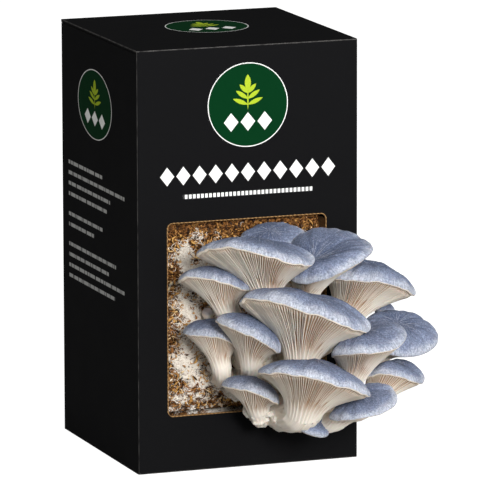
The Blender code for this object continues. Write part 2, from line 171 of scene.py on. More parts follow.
# One mushroom, in millimetres and degrees, field by field as in the model; gills is how many go round
Mushroom = namedtuple(
    "Mushroom",
    "name centre rim facing top edge neck foot pole gills root",
    defaults=((0, 0.25), 72, "cluster_foot"),
)
MUSHROOMS = [
    Mushroom("top_left", (-12.5, -115, 135.5), (34, 24, 17), (-22, 14, 4), (9, 0), (2, 3),
             (0, -101, 107.5, 8.5), (4, -74, 70, 7)),
    Mushroom("top_back", (10, -80, 136), (20, 10, 15), (-15, -31, -9), (5, 0), (0, 0),
             (14, -76, 122, 6), (12, -72, 80, 5), gills=44),
    Mushroom("top_right", (35, -106, 132.5), (27, 22, 24), (10, -18, -20), (7, 3), (6, 0),
             (26, -97, 108.5, 8), (18, -74, 72, 6), pole=(-0.5, -0.2)),
    Mushroom("right_upper", (62, -109, 117), (28, 22, 20), (0, -1, 15), (9.5, 4), (5.5, 0),
             (50, -93, 89, 9), (20, -76, 62, 6)),
    Mushroom("right_tiny", (81.5, -79, 89), (6, 6, 6), (0, -5, -3), (4.5, 0), (0, 1),
             (76, -79, 80, 3), (56, -84, 58, 3), gills=24, root="stem_right_outer"),
    Mushroom("right_outer", (82, -100, 79), (25, 20, 19), (15, -30, -2), (7.5, 2), (0, 0.5),
             (70, -91, 64, 7), (26, -76, 54, 5)),
    Mushroom("right_middle", (50, -133, 81), (23, 20, 16), (0, 1, -16), (8.5, 0), (-2, 2.5),
             (45, -117, 58, 8), (22, -84, 44, 6)),
    Mushroom("centre", (13.5, -128, 102), (39, 26, 18), (-12, 10, 13), (11.5, 0), (1, 3.5),
             (18.5, -107, 69, 10), (12, -78, 54, 8)),
    Mushroom("lower_centre", (15.5, -140, 67), (34, 23, 18), (-5, 4, 14), (9, 0), (4.5, 1.5),
             (17, -115, 43, 12), (13, -86, 35, 9)),
    Mushroom("middle_left", (-15, -112, 89.5), (21, 16, 13), (-20, 5, 27), (9, 0), (2.5, 0),
             (-8.5, -96, 67.5, 6.5), (0, -74, 56, 6), gills=44),
    Mushroom("left_upper", (-31.5, -96, 117.5), (21, 16, 14), (-30, 18, 6), (8.5, 0), (2, 0.5),
             (-20.5, -88, 98.5, 7), (-4, -71, 64, 6), gills=44),
    Mushroom("left_lower", (-29.5, -88, 85.5), (16.5, 13, 10), (-30, 6, 15), (7.5, 0), (3.5, -1.5),
             (-22, -81.5, 65, 6), (-17, -66, 53, 4.5), gills=40),
    Mushroom("lower_left", (-11, -104, 53), (17.5, 14, 9), (-25, 12, 17), (8.5, 0), (2, 0),
             (-3, -93, 40, 7), (0, -89, 33.5, 5.5), gills=40),
    Mushroom("right_lower", (75, -111, 58), (19, 15, 11), (10, 0, 5), (7.5, 0), (1, 3),
             (63, -101, 39, 6), (28, -82, 38, 5), gills=44),
    Mushroom("bottom_right", (47, -132, 46.5), (21, 17, 15), (0, -12, -20), (5, 0), (0.5, 2),
             (37.5, -116, 34.5, 6), (26, -84, 32, 5), gills=44),
    Mushroom("bottom_tiny", (25, -112, 30), (9.5, 8, 7), (10, -32, 1), (4, 0), (0.5, 1),
             (22, -102, 29, 3.5), (17, -94, 32, 3.5), gills=28, root="stem_lower_centre"),
]

# Balls that are joined into the foot, and smaller ones round it where young mushrooms start
FOOT_KNOBS = [
    ((12, -71, 60), 9),
    ((12, -74, 48), 11),
    ((14, -82, 38), 9),
    ((6, -83, 37), 7),
    ((20, -76, 42), 9),
    ((-2, -70, 52), 7),
    ((-11, -67, 54), 5),
    ((-17, -66, 53), 5),
]
FOOT_LUMPS = [
    ((-4, -89.5, 38), 6.4),
    ((-1, -90.5, 36.5), 6),
    ((3, -97, 37), 3),
    ((6, -100, 34), 3),
    ((9, -102.5, 31.5), 2.8),
    ((13, -105, 29.5), 2.8),
    ((18, -107, 29), 2.8),
    ((-20, -70, 57), 3.4),
    ((-16, -72, 55), 3.2),
    ((-24, -69, 60.5), 2.4),
    ((-14, -74, 49), 3.2),
    ((-13, -74, 45.5), 3),
    ((-10, -76, 43), 3),
]
BUD_CENTRE = (-25.6, -69.3, 93)
BUD_SIZE = (3.2, 5, 3.4)

# Printing on the board, where each pair of leaves has its height, length and lean
INK_EDGE = 0.15
LOZENGE_WIDTH = 0.86
BADGE_Z = 215
BADGE_RADIUS = 24.8
BADGE_RING = 0.5
LEAF_PAIRS = ((-0.75, 0.95, 22), (-0.42, 0.85, 34), (-0.1, 0.7, 46))
SIDE_BADGE = (-6.7, 207.5)
SIDE_BADGE_STRETCH = 1.48
SIDE_BADGE_RADIUS = 20.8
TOP_BADGE = (3, 10)
TITLE_Z = 175.4
TITLE_HEIGHT = 11
TITLE_WIDTH = 110
TITLE_PITCH = 10
SUBTITLE_Z = 163
SUBTITLE_HEIGHT = 2.4
SUBTITLE_WIDTH = 80
SUBTITLE_PITCH = 2.5
SUBTITLE_GAP = 0.7
SUBTITLE_GAP_EDGE = 0.3

# Rows on the left side, each with its height and reach, and the shift, pitch and width of their gaps
SIDE_ROWS = (
    (166, 6), (159.6, 46), (153.2, 20), (146.8, 14),
    (134.6, 6), (128.2, -9),
    (116.3, 30), (109.9, 17), (103.5, 45), (97.1, 28),
)
SIDE_ROWS_START = -56
SIDE_ROW_HEIGHT = 2.2
SIDE_ROW_GAPS = ((7.3, 9.7, 0.65), (3.1, 14.9, 0.75))
SIDE_ROW_GAP_EDGE = 0.5

# Lines where the board is glued and folded, its worn edges with a painted highlight, and its flutes in
# radians per millimetre
EDGE_WEAR_AND_HIGHLIGHT = 0.7
KRAFT_RIM = 0.6
GLUE_FLAP_X = 52
GLUE_LINE = 0.3
BOTTOM_TAB = 34
BOTTOM_LINE = 0.4
LINE_STRENGTH = 0.6
RIM_FLUTES = 2.6
BOARD_FLUTES = 3.6


def srgb(red, green, blue):
    """A colour given as 0 to 255 for each channel, as the linear values that shaders take."""
    return tuple((channel / 255) ** 2.2 for channel in (red, green, blue))


BLACK_INK = srgb(23, 23, 24)
WEAR_AND_HIGHLIGHT_GREY = srgb(96, 94, 92)
GREEN_INK = srgb(8, 50, 27)
LEAF_INK = srgb(160, 182, 48)
WHITE_INK = srgb(236, 236, 233)
GREY_INK = srgb(175, 175, 172)
KRAFT = srgb(158, 124, 84)
KRAFT_DARK = srgb(112, 84, 54)
SKIN_DARK = srgb(74, 84, 109)
SKIN_MIDDLE = srgb(113, 122, 145)
SKIN_LIGHT = srgb(188, 191, 199)
MARGIN = srgb(234, 221, 204)
CREAM = srgb(247, 237, 223)
GILL_BROWN_AND_SHADE = srgb(160, 116, 76)
GILL_GREY_AND_SHADE = srgb(164, 144, 124)
STEM_STAIN = srgb(196, 168, 130)
MYCELIUM = srgb(248, 240, 228)
STRAW_GOLD = srgb(212, 160, 86)
STRAW_PALE = srgb(240, 212, 158)
STRAW_BROWN = srgb(150, 100, 52)
STRAW_DARK = srgb(48, 29, 15)
BUD_LILAC = srgb(205, 198, 198)
FLOOR = srgb(176, 176, 175)


class Socket:
    """An output of a shader node, with arithmetic written as plain Python."""

    def __init__(self, tree, output):
        self.tree = tree
        self.output = output

    @staticmethod
    def added(tree, kind, settings, inputs, output=0):
        """Adds a node: its settings, then its inputs as values or Sockets. Returns one of its outputs."""
        made = tree.nodes.new(kind)
        for name, value in settings.items():
            setattr(made, name, value)
        for name, value in inputs.items():
            if isinstance(value, Socket):
                tree.links.new(value.output, made.inputs[name])
            else:
                made.inputs[name].default_value = value
        return Socket(tree, made.outputs[output])

    def node(self, kind, settings, inputs, output=0):
        return Socket.added(self.tree, kind, settings, inputs, output)

    def math(self, operation, *others):
        """A Math node that takes this value first."""
        inputs = dict(enumerate((self, *others)))
        return self.node("ShaderNodeMath", {"operation": operation}, inputs)

    def math_after(self, other, operation):
        """A Math node that takes this value second."""
        return self.node("ShaderNodeMath", {"operation": operation}, {0: other, 1: self})

    def vector_math(self, operation, inputs):
        return self.node("ShaderNodeVectorMath", {"operation": operation}, inputs)

    def __add__(self, other):
        return self.math("ADD", other)

    def __radd__(self, other):
        return self.math_after(other, "ADD")

    def __sub__(self, other):
        return self.math("SUBTRACT", other)

    def __rsub__(self, other):
        return self.math_after(other, "SUBTRACT")

    def __mul__(self, other):
        return self.math("MULTIPLY", other)

    def __rmul__(self, other):
        return self.math_after(other, "MULTIPLY")

    def __truediv__(self, other):
        return self.math("DIVIDE", other)

    def __rtruediv__(self, other):
        return self.math_after(other, "DIVIDE")

    def __pow__(self, other):
        return self.math("POWER", other)

    def __rpow__(self, other):
        return self.math_after(other, "POWER")

    def __abs__(self):
        return self.math("ABSOLUTE")

    def maximum(self, other):
        return self.math("MAXIMUM", other)

    def stretched(self, x, y, z):
        """A vector with each of its parts multiplied."""
        return self.vector_math("MULTIPLY", {0: self, 1: (x, y, z)})

    def part(self, axis):
        """One part of a vector, by its name."""
        return self.node("ShaderNodeSeparateXYZ", {}, {0: self}, "XYZ".index(axis))

    def step(self, low, high):
        """0 below low and 1 above high, smooth between them; the other way round where high is lower."""
        settings = {"interpolation_type": "SMOOTHSTEP"}
        ends = {0: self, 1: low, 2: high} if low < high else {0: self, 1: high, 2: low}
        rise = self.node("ShaderNodeMapRange", settings, ends)
        return rise if low < high else 1 - rise

    def noise(self, scale, detail, roughness=0.55):
        """Noise at this vector, from 0 to 1."""
        inputs = {"Vector": self, "Scale": scale, "Detail": detail, "Roughness": roughness}
        return self.node("ShaderNodeTexNoise", {}, inputs)

    def fibres(self, across, along, detail, roughness):
        """Noise at a way value, drawn out from one end of the run to the other."""
        return self.stretched(across, across, along).noise(1, detail, roughness)

    def mix(self, low, high):
        """Blends two colours by this factor. A Mix node's colours are its inputs 6 and 7 and its output 2."""
        low, high = [(*end, 1) if isinstance(end, tuple) else end for end in (low, high)]
        return self.node("ShaderNodeMix", {"data_type": "RGBA"}, {0: self, 6: low, 7: high}, 2)

    def shaded(self, colour):
        """A colour multiplied by this factor."""
        return self.vector_math("SCALE", {0: colour, "Scale": self})


class Finish:
    """A material that is being built: its coordinates, and its one Principled shader."""

    def __init__(self, name, **constants):
        self.material = bpy.data.materials.new(name)
        self.material.use_nodes = True
        self.tree = self.material.node_tree
        self.shader = self.tree.nodes["Principled BSDF"]
        for name, value in constants.items():
            self.shader.inputs[name.replace("_", " ")].default_value = value
        self.place = Socket.added(self.tree, "ShaderNodeTexCoord", {}, {}, "Object")

    def attribute(self, name, output="Fac"):
        return Socket.added(self.tree, "ShaderNodeAttribute", {"attribute_name": name}, {}, output)

    def feed(self, **sockets):
        for name, socket in sockets.items():
            self.tree.links.new(socket.output, self.shader.inputs[name.replace("_", " ")])

    def bump(self, height, distance, strength):
        """Relief of this height, where distance is in millimetres."""
        inputs = {"Height": height, "Distance": distance * MM, "Strength": strength}
        self.feed(Normal=height.node("ShaderNodeBump", {}, inputs))


def camera_rays(tree):
    return Socket.added(tree, "ShaderNodeLightPath", {}, {}, "Is Camera Ray")


def disc(across, up, radius):
    """1 inside a circle around the middle of two coordinates."""
    distance = (across * across + up * up) ** 0.5
    return distance.step(radius + INK_EDGE, radius - INK_EDGE)


def leaf(across, up, length, width):
    """1 inside a leaf that lies along the first coordinate, from 0 to length: two arcs meet at each end."""
    radius = (length * length / 4 + width * width / 4) / width
    offset = radius - width / 2
    middle = across - length / 2
    return disc(middle, up + offset, radius) * disc(middle, up - offset, radius)


def turned(across, up, angle):
    """Two coordinates seen from axes that are turned by an angle in degrees."""
    cosine, sine = math.cos(math.radians(angle)), math.sin(math.radians(angle))
    return across * cosine + up * sine, up * cosine - across * sine


def sprig(across, up, size):
    """A stalk with a leaf at its tip and three pairs of leaves that get longer downwards."""
    tip = leaf(*turned(across, up, 90), 0.95 * size, 0.36 * size)
    stalk = leaf(*turned(across, up + 1.05 * size, 90), 1.2 * size, 0.08 * size)
    mask = tip.maximum(stalk)
    for height, length, lean in LEAF_PAIRS:
        for angle in (lean, 180 - lean):
            blade = leaf(*turned(across, up - height * size, angle), length * size, 0.24 * size)
            mask = mask.maximum(blade)
    return mask


def lozenges(across, up, pitch, height):
    """1 inside a row of lozenges that stand on their points."""
    reach = abs(row_of(across, pitch)) / (LOZENGE_WIDTH * pitch / 2) + abs(up) / (height / 2)
    return reach.step(1.04, 0.96)


def badge(colour, across, up, radius):
    """A green disc with a thin pale edge, a leafy sprig, and three pale lozenges below it."""
    colour = disc(across, up, radius).mix(colour, WHITE_INK)
    colour = disc(across, up, radius - BADGE_RING).mix(colour, GREEN_INK)
    colour = sprig(across, up - 0.32 * radius, 0.42 * radius).mix(colour, LEAF_INK)
    row = lozenges(across + 0.21 * radius, up + 0.4 * radius, 0.42 * radius, 0.44 * radius)
    return (row * stripe(across, 0, 1.26 * radius)).mix(colour, WHITE_INK)


def band(value, low, high):
    """1 where a value lies between two limits."""
    return value.step(low - INK_EDGE, low + INK_EDGE) * value.step(high + INK_EDGE, high - INK_EDGE)


def stripe(value, middle, width):
    return band(value, middle - width / 2, middle + width / 2)


def row_of(across, pitch):
    """Distance from the middle of the nearest place in an even row."""
    return (across / pitch).math("FRACT") * pitch - pitch / 2


def broken(across, pitch, gap, edge):
    """1 along a row, apart from a gap in each stretch as long as the pitch."""
    start = gap - pitch / 2
    return row_of(across, pitch).step(start, start + edge)


def wave(value):
    """A sine that runs from 0 to 1."""
    return 0.5 + 0.5 * value.math("SINE")


def window_rim(colour, across, up):
    """The bare edge of the board that shows around the window."""
    side = abs(across - WINDOW_SHIFT) - (WINDOW_WIDTH / 2 - WINDOW_CORNER)
    rise = abs(up - (WINDOW_BOTTOM + WINDOW_TOP) / 2) - ((WINDOW_TOP - WINDOW_BOTTOM) / 2 - WINDOW_CORNER)
    side = side.maximum(0)
    rise = rise.maximum(0)
    edge = (side * side + rise * rise) ** 0.5 - WINDOW_CORNER
    kraft = wave((across + up) * RIM_FLUTES).mix(KRAFT_DARK, KRAFT)
    return edge.step(KRAFT_RIM + 0.1, KRAFT_RIM - 0.1).mix(colour, kraft)


def front_print(colour, across, up):
    colour = badge(colour, across, up - BADGE_Z, BADGE_RADIUS)
    row = lozenges(across + TITLE_PITCH / 2, up - TITLE_Z, TITLE_PITCH, TITLE_HEIGHT)
    colour = (row * stripe(across, 0, TITLE_WIDTH)).mix(colour, WHITE_INK)
    rule = stripe(up, SUBTITLE_Z, SUBTITLE_HEIGHT) * stripe(across, 0, SUBTITLE_WIDTH)
    ticks = rule * broken(across, SUBTITLE_PITCH, SUBTITLE_GAP, SUBTITLE_GAP_EDGE)
    return window_rim(ticks.mix(colour, WHITE_INK), across, up)


def side_print(colour, across, up):
    """The left side, seen from outside: an oval badge over broken rows."""
    across = 0 - across
    oval = (across - SIDE_BADGE[0]) / SIDE_BADGE_STRETCH
    colour = badge(colour, oval, up - SIDE_BADGE[1], SIDE_BADGE_RADIUS)
    for height, reach in SIDE_ROWS:
        row = stripe(up, height, SIDE_ROW_HEIGHT) * band(across, SIDE_ROWS_START, reach)
        for shift, pitch, gap in SIDE_ROW_GAPS:
            row = row * broken(across + shift * height, pitch, gap, SIDE_ROW_GAP_EDGE)
        colour = row.mix(colour, GREY_INK)
    return colour


def top_print(colour, across, up):
    return badge(colour, across - TOP_BADGE[0], up - TOP_BADGE[1], BADGE_RADIUS)


def plain_print(colour, across, _up):
    """Only the line where the wall's glued flap ends."""
    return (LINE_STRENGTH * stripe(across, GLUE_FLAP_X, GLUE_LINE)).mix(colour, WEAR_AND_HIGHLIGHT_GREY)


def underside_print(colour, across, up):
    """The lines where the flaps of the bottom meet."""
    middle = stripe(up, 0, BOTTOM_LINE)
    tab_sides = nearness(across, BOTTOM_TAB, 2 * BOTTOM_LINE) * band(up, -BOTTOM_TAB / 2, 0)
    tab_end = stripe(up, -BOTTOM_TAB / 2, BOTTOM_LINE) * stripe(across, 0, 2 * BOTTOM_TAB)
    lines = middle.maximum((LINE_STRENGTH * tab_sides).maximum(tab_end))
    return (LINE_STRENGTH * lines).mix(colour, WEAR_AND_HIGHLIGHT_GREY)


def nearness(value, edge, reach):
    """1 where a coordinate is within reach of an edge on either side of its middle."""
    return abs(value).step(edge - reach, edge - 0.4 * reach)


def carton_edges(place):
    """1 along the outer edges of the carton, where two of its sides meet."""
    side = nearness(place.part("X") / MM, WIDTH / 2, EDGE_WEAR_AND_HIGHLIGHT)
    front = nearness(place.part("Y") / MM, DEPTH / 2, EDGE_WEAR_AND_HIGHLIGHT)
    end = nearness(place.part("Z") / MM - HEIGHT / 2, HEIGHT / 2, EDGE_WEAR_AND_HIGHLIGHT)
    return (side * front).maximum(front * end).maximum(end * side)


def printed_board(name, across, up, artwork):
    """Black printed paper on board, rubbed pale along the edges of the carton: wear and a painted highlight.
    """
    finish = Finish(name, Specular_IOR_Level=0.03)
    place = finish.place
    fibres = place.noise(900, 4)
    smudges = place.noise(28, 3)
    colour = (0.8 + 0.2 * fibres + 0.2 * smudges).shaded(BLACK_INK)
    colour = artwork(colour, place.part(across) / MM, place.part(up) / MM)
    # Painted highlight and wear: the carton's outer edges are painted pale in rubbed patches
    wear_and_highlight = carton_edges(place) * place.noise(160, 3).step(0.2, 0.7)
    finish.feed(Base_Color=(0.8 * wear_and_highlight).mix(colour, WEAR_AND_HIGHLIGHT_GREY))
    finish.feed(Roughness=0.62 + 0.12 * smudges + 0.04 * fibres)
    finish.bump(fibres, 0.015, 0.3)
    return finish.material


def kraft_board():
    """Bare brown board: the inside of the carton, and the cut edges with their flutes."""
    finish = Finish("kraft_board", Specular_IOR_Level=0.2)
    place = finish.place
    fibres = place.stretched(1, 1, 0.3).noise(700, 4)
    specks = place.noise(2500, 2)
    along = (place.part("X") + place.part("Z")) / MM
    flutes = wave(along * BOARD_FLUTES)
    colour = (0.25 + 0.5 * fibres + 0.25 * specks).mix(KRAFT_DARK, KRAFT)
    finish.feed(Base_Color=(0.8 + 0.2 * flutes).shaded(colour))
    finish.feed(Roughness=0.75 + 0.15 * fibres)
    finish.bump(fibres + 0.5 * specks, 0.06, 0.7)
    return finish.material


def cap_skin():
    """Blue-grey skin: dark and mottled at the crest, streaked outwards, with a thin cream margin."""
    finish = Finish("cap_skin", Specular_IOR_Level=0.3, Subsurface_Weight=0.04, Subsurface_Scale=0.001)
    place = finish.place
    way = finish.attribute("way", "Vector")
    share = way.part("Z")
    streaks = way.fibres(38, 7, 4, 0.65)
    fine = way.fibres(64, 22, 3, 0.7)
    mottle = place.noise(900, 4, 0.75)
    patches = place.noise(70, 3)
    spread = share + 0.4 * (patches - 0.5) + 0.2 * (streaks - 0.5)
    colour = spread.step(0.25, 0.92).mix(SKIN_DARK, SKIN_MIDDLE)
    colour = (0.7 * spread.step(0.82, 1.06)).mix(colour, SKIN_LIGHT)
    long = way.fibres(16, 1.6, 4, 0.7)
    rays = share.step(0.7, 0.15) * long.step(0.5, 0.62)
    colour = (0.55 * rays).mix(colour, SKIN_LIGHT)
    grain = 0.7 * (streaks - 0.5) + 1.3 * (fine - 0.5) + 2.3 * (mottle - 0.5)
    colour = (1 + grain).maximum(0.35).shaded(colour)
    specks = (fine + mottle).step(1.05, 1.3)
    colour = (0.42 * specks).mix(colour, SKIN_LIGHT)
    pale = (share + 0.04 * (mottle - 0.5)).step(1.015, 1.04)
    finish.feed(Base_Color=pale.mix(colour, MARGIN))
    finish.feed(Roughness=0.6 + 0.2 * mottle + 0.1 * fine)
    finish.bump(streaks + 0.8 * fine + mottle, 0.35, 0.7)
    return finish.material


def gill_flesh():
    """Cream gills, browner deep between them and greyer near the rim, both partly painted shade."""
    finish = Finish("gill_flesh", Specular_IOR_Level=0.25, Subsurface_Weight=0.08, Subsurface_Scale=0.002)
    way = finish.attribute("way", "Vector")
    crest = finish.attribute("crest")
    share = way.part("Z")
    fine = way.fibres(70, 3, 3, 0.6)
    patches = finish.place.noise(60, 3)
    # Brown in the gill valleys: partly the gills' own tone, partly painted shade where the blades shade each
    # other
    depth = crest.step(0.74, 0.08) * (share + 0.3 * (patches - 0.5)).step(1.0, 0.45)
    colour = depth.mix(CREAM, GILL_BROWN_AND_SHADE)
    # Greyer towards the rim: partly the gills' own tone, partly painted shade under the overhanging cap
    colour = (0.5 * share.step(0.6, 0.0)).mix(colour, GILL_GREY_AND_SHADE)
    finish.feed(Base_Color=(0.9 + 0.14 * fine + 0.08 * patches).shaded(colour))
    finish.feed(Roughness=0.6 + 0.2 * fine)
    finish.bump(fine, 0.12, 0.5)
    return finish.material


def stem_flesh():
    """Cream flesh with lengthwise fibres, darker near the foot and in its grooves."""
    finish = Finish("stem_flesh", Specular_IOR_Level=0.25, Subsurface_Weight=0.1, Subsurface_Scale=0.003)
    way = finish.attribute("way", "Vector")
    up = way.part("Z")
    fibres = way.fibres(9, 1.1, 4, 0.6)
    fine = way.fibres(30, 3, 3, 0.6)
    grooves = way.fibres(7, 0.5, 2, 0.5).step(0.42, 0.3)
    pits = finish.place.noise(900, 3, 0.6).step(0.55, 0.66) * up.step(0.35, 0.1)
    colour = (0.33 * grooves).mix(CREAM, STEM_STAIN)
    colour = (0.4 * pits).mix(colour, STRAW_BROWN)
    tone = 0.6 + 0.16 * up.step(0.2, 0.95) + 0.28 * fibres + 0.16 * fine
    finish.feed(Base_Color=tone.shaded(colour))
    finish.feed(Roughness=0.6 + 0.2 * fine)
    finish.bump(fibres + 0.4 * fine - 0.8 * pits, 0.45, 0.7)
    return finish.material


def foot_flesh():
    """Pale flesh with a felt of mycelium over it, in stained patches and with brown pits."""
    finish = Finish("foot_flesh", Specular_IOR_Level=0.2, Subsurface_Weight=0.1, Subsurface_Scale=0.003)
    place = finish.place
    felt = place.noise(700, 4, 0.7)
    patches = place.noise(210, 4)
    stain = patches.step(0.5, 0.7)
    pits = place.noise(900, 3, 0.6).step(0.56, 0.66)
    colour = (0.6 * stain).mix(MYCELIUM, STEM_STAIN)
    colour = (0.5 * pits).mix(colour, STRAW_BROWN)
    finish.feed(Base_Color=(0.52 + 0.44 * felt).shaded(colour))
    finish.feed(Roughness=0.8 + 0.15 * felt)
    finish.bump(felt + 1.5 * patches, 1.2, 0.8)
    return finish.material


def bud_skin():
    finish = Finish("bud_skin", Specular_IOR_Level=0.3, Subsurface_Weight=0.1, Subsurface_Scale=0.001)
    place = finish.place
    mottle = place.noise(500, 4)
    low = (place.part("Z") / MM).step(BUD_CENTRE[2] + 1.2, BUD_CENTRE[2] - 0.8)
    colour = low.mix(BUD_LILAC, CREAM)
    finish.feed(Base_Color=(0.8 + 0.35 * mottle).shaded(colour))
    finish.feed(Roughness=0.6 + 0.2 * mottle)
    finish.bump(mottle, 0.1, 0.5)
    return finish.material


def substrate_crumb():
    """Straw and grain bound by mycelium: the fluff value says how white a place is."""
    finish = Finish("substrate_crumb", Specular_IOR_Level=0.2)
    place = finish.place
    fluff = finish.attribute("fluff")
    fibre = place.noise(1100, 5, 0.75)
    straw = place.stretched(1, 1, 2.2).noise(420, 4, 0.6)
    speck = place.noise(260, 4, 0.6)
    brown = straw.step(0.42, 0.68).mix(STRAW_DARK, STRAW_BROWN)
    brown = speck.step(0.55, 0.75).mix(brown, STRAW_GOLD)
    white = (fluff + 1.9 * (fibre - 0.5) + 1.1 * (speck - 0.5)).step(0.3, 0.7)
    felt = (0.75 * fibre.step(0.5, 0.36)).mix(MYCELIUM, STRAW_BROWN)
    finish.feed(Base_Color=white.mix(brown, felt))
    finish.feed(Roughness=0.8 + 0.15 * fibre)
    finish.bump(fibre + 0.8 * straw + speck, 1.2, 0.9)
    return finish.material


def straw_flake():
    finish = Finish("straw_flake", Specular_IOR_Level=0.4)
    place = finish.place
    shade = finish.attribute("shade")
    grain = place.noise(1400, 3)
    dusting = place.noise(260, 4)
    colour = shade.step(0.0, 0.25).mix(STRAW_DARK, STRAW_BROWN)
    colour = shade.step(0.25, 0.7).mix(colour, STRAW_GOLD)
    colour = shade.step(0.75, 1.0).mix(colour, STRAW_PALE)
    colour = (dusting + 0.3 * (shade - 0.5)).step(0.6, 0.78).mix(colour, MYCELIUM)
    finish.feed(Base_Color=(0.55 + 0.8 * grain).shaded(colour))
    finish.feed(Roughness=0.45 + 0.3 * grain)
    finish.bump(grain, 0.1, 0.6)
    return finish.material


def mycelium_thread():
    finish = Finish("mycelium_thread", Specular_IOR_Level=0.2, Roughness=0.85)
    tone = 0.85 + 0.2 * finish.place.noise(300, 3)
    finish.feed(Base_Color=tone.shaded(MYCELIUM))
    return finish.material


def floor_paper():
    """Pale paper that looks as bright as the backdrop without lighting the object from below."""
    finish = Finish("floor_paper", Roughness=0.9, Specular_IOR_Level=0.1, Emission_Strength=FLOOR_GLOW)
    tone = 0.985 + 0.03 * finish.place.noise(40, 4)
    finish.feed(Base_Color=tone.shaded(FLOOR))
    finish.feed(Emission_Color=camera_rays(finish.tree))
    return finish.material


def unit(vectors):
    return vectors / np.linalg.norm(vectors, axis=-1, keepdims=True)


def smooth(value, low, high):
    """0 at low and 1 at high, with a soft start and end."""
    t = np.clip((value - low) / (high - low), 0, 1)
    return t * t * (3 - 2 * t)


def ripple(points, length, seed):
    """Soft random rise and fall from -1 to 1, in lumps of about this length."""
    rng = np.random.default_rng(seed)
    total = 0
    for _ in range(RIPPLE_WAVES):
        way = unit(rng.normal(size=3))
        phase = points @ way * (math.tau / length)
        total = total + np.sin(phase * rng.uniform(0.6, 1.3) + rng.uniform(0, ANY_TURN))
    return total / (RIPPLE_WAVES / 2)


def bezier(a, b, c, d, t):
    s = 1 - t
    return a * s**3 + b * (3 * s * s * t) + c * (3 * s * t * t) + d * t**3


def linked(name, data):
    """A new object in the scene."""
    made = bpy.data.objects.new(name, data)
    bpy.context.scene.collection.objects.link(made)
    return made


def object_from(bm, name, *finishes):
    """A new object in the scene from a bmesh, which is used up."""
    mesh = bpy.data.meshes.new(name)
    bm.to_mesh(mesh)
    bm.free()
    for finish in finishes:
        mesh.materials.append(finish)
    return linked(name, mesh)


def add_values(mesh, title, values):
    """Keeps a number or a vector on each point of a mesh."""
    kind, field = ("FLOAT_VECTOR", "vector") if values.ndim == 2 else ("FLOAT", "value")
    mesh.attributes.new(title, kind, "POINT").data.foreach_set(field, values.ravel())


def add_mesh(name, points, faces, finish, attributes=None):
    """A smooth mesh from points in millimetres, with values or vectors on its points."""
    mesh = bpy.data.meshes.new(name)
    mesh.from_pydata((points.reshape(-1, 3) * MM).tolist(), [], faces)
    mesh.materials.append(finish)
    for title, values in (attributes or {}).items():
        add_values(mesh, title, values)
    mesh.update()
    mesh.shade_smooth()
    return linked(name, mesh)


def ring_faces(rows, columns, start=0):
    """Quads between rings of points; each ring closes on itself."""
    row, column = np.meshgrid(np.arange(rows - 1), np.arange(columns), indexing="ij")
    after = (column + 1) % columns
    corners = (
        row * columns + column,
        (row + 1) * columns + column,
        (row + 1) * columns + after,
        row * columns + after,
    )
    return (np.stack(corners, -1).reshape(-1, 4) + start).tolist()


def grid_faces(rows, columns):
    row, column = np.meshgrid(np.arange(rows - 1), np.arange(columns - 1), indexing="ij")
    first = row * columns + column
    corners = (first, first + 1, first + columns + 1, first + columns)
    return np.stack(corners, -1).reshape(-1, 4).tolist()


def around(count):
    return np.arange(count) * (math.tau / count)


def way_of(angles, shares):
    """The way value of each point: cosine and sine of its angle, and its share of the run."""
    rows = np.broadcast_to(np.asarray(shares, float).reshape(-1, 1), (len(shares), len(angles)))
    turn = np.broadcast_to(angles, rows.shape)
    return np.stack([np.cos(turn), np.sin(turn), rows], -1).reshape(-1, 3)


def placed(matrix, points):
    return points @ matrix[:3, :3].T + matrix[:3, 3]


def cap_frame(mushroom):
    """Matrix from the cap's own frame, front at -Y and up at +Z, to the world."""
    turn, tilt, roll = (math.radians(angle) for angle in mushroom.facing)
    return np.array(
        Matrix.Translation(mushroom.centre)
        @ Matrix.Rotation(turn, 4, "Z")
        @ Matrix.Rotation(roll, 4, "Y")
        @ Matrix.Rotation(-tilt, 4, "X")
    )


def waves(angles, phase, parts):
    return sum(height * np.sin(count * angles + turn * phase) for count, turn, height in parts)


def rim_points(mushroom, angles):
    """The rim in the cap's own frame. An angle is 0 at the front and 90 degrees at the right."""
    half_width, front, back = mushroom.rim
    arch, twist = mushroom.edge
    phase = sum(mushroom.centre)
    rise = RIM_WAVE * waves(angles, phase, RIM_WAVES)
    frill = RIM_FRILL * waves(angles, phase, RIM_FRILLS)
    reach = (front + back) / 2 + (front - back) / 2 * np.cos(angles)
    x = half_width * np.sin(angles) * (1 + rise + 0.5 * frill)
    y = -reach * np.cos(angles) * (1 + rise + 0.5 * frill)
    z = half_width * (0.5 * rise + 0.8 * frill) - arch * np.sin(angles) ** 2 - twist * np.sin(2 * angles)
    return np.stack([x, y, z], -1)


def pole_point(mushroom):
    half_width, _, back = mushroom.rim
    return np.array([mushroom.pole[0] * half_width, mushroom.pole[1] * back, 0.0])


def stem_line(mushroom):
    """Control points of the stem's centreline, from the foot to the neck."""
    foot, neck = np.array(mushroom.foot[:3], float), np.array(mushroom.neck[:3], float)
    run = neck - foot
    third = np.linalg.norm(run) / 3
    upwards = unit(placed(cap_frame(mushroom), pole_point(mushroom)) - neck)
    short = np.linalg.norm(run) < 2.5 * mushroom.neck[3]
    upright = short or mushroom.root != "cluster_foot"
    leave = 2 * upwards if upright else np.array([0.0, -1.0, 0.0])
    outwards = unit(leave + unit(run))
    return foot, foot + outwards * third, neck - upwards * third, neck


def ring_axes(along, matrix):
    """Right and front directions of a ring across the stem, kept in step with the cap's own."""
    right = matrix[:3, 0]
    right = unit(right - along * (right @ along))
    return right, np.cross(right, along)


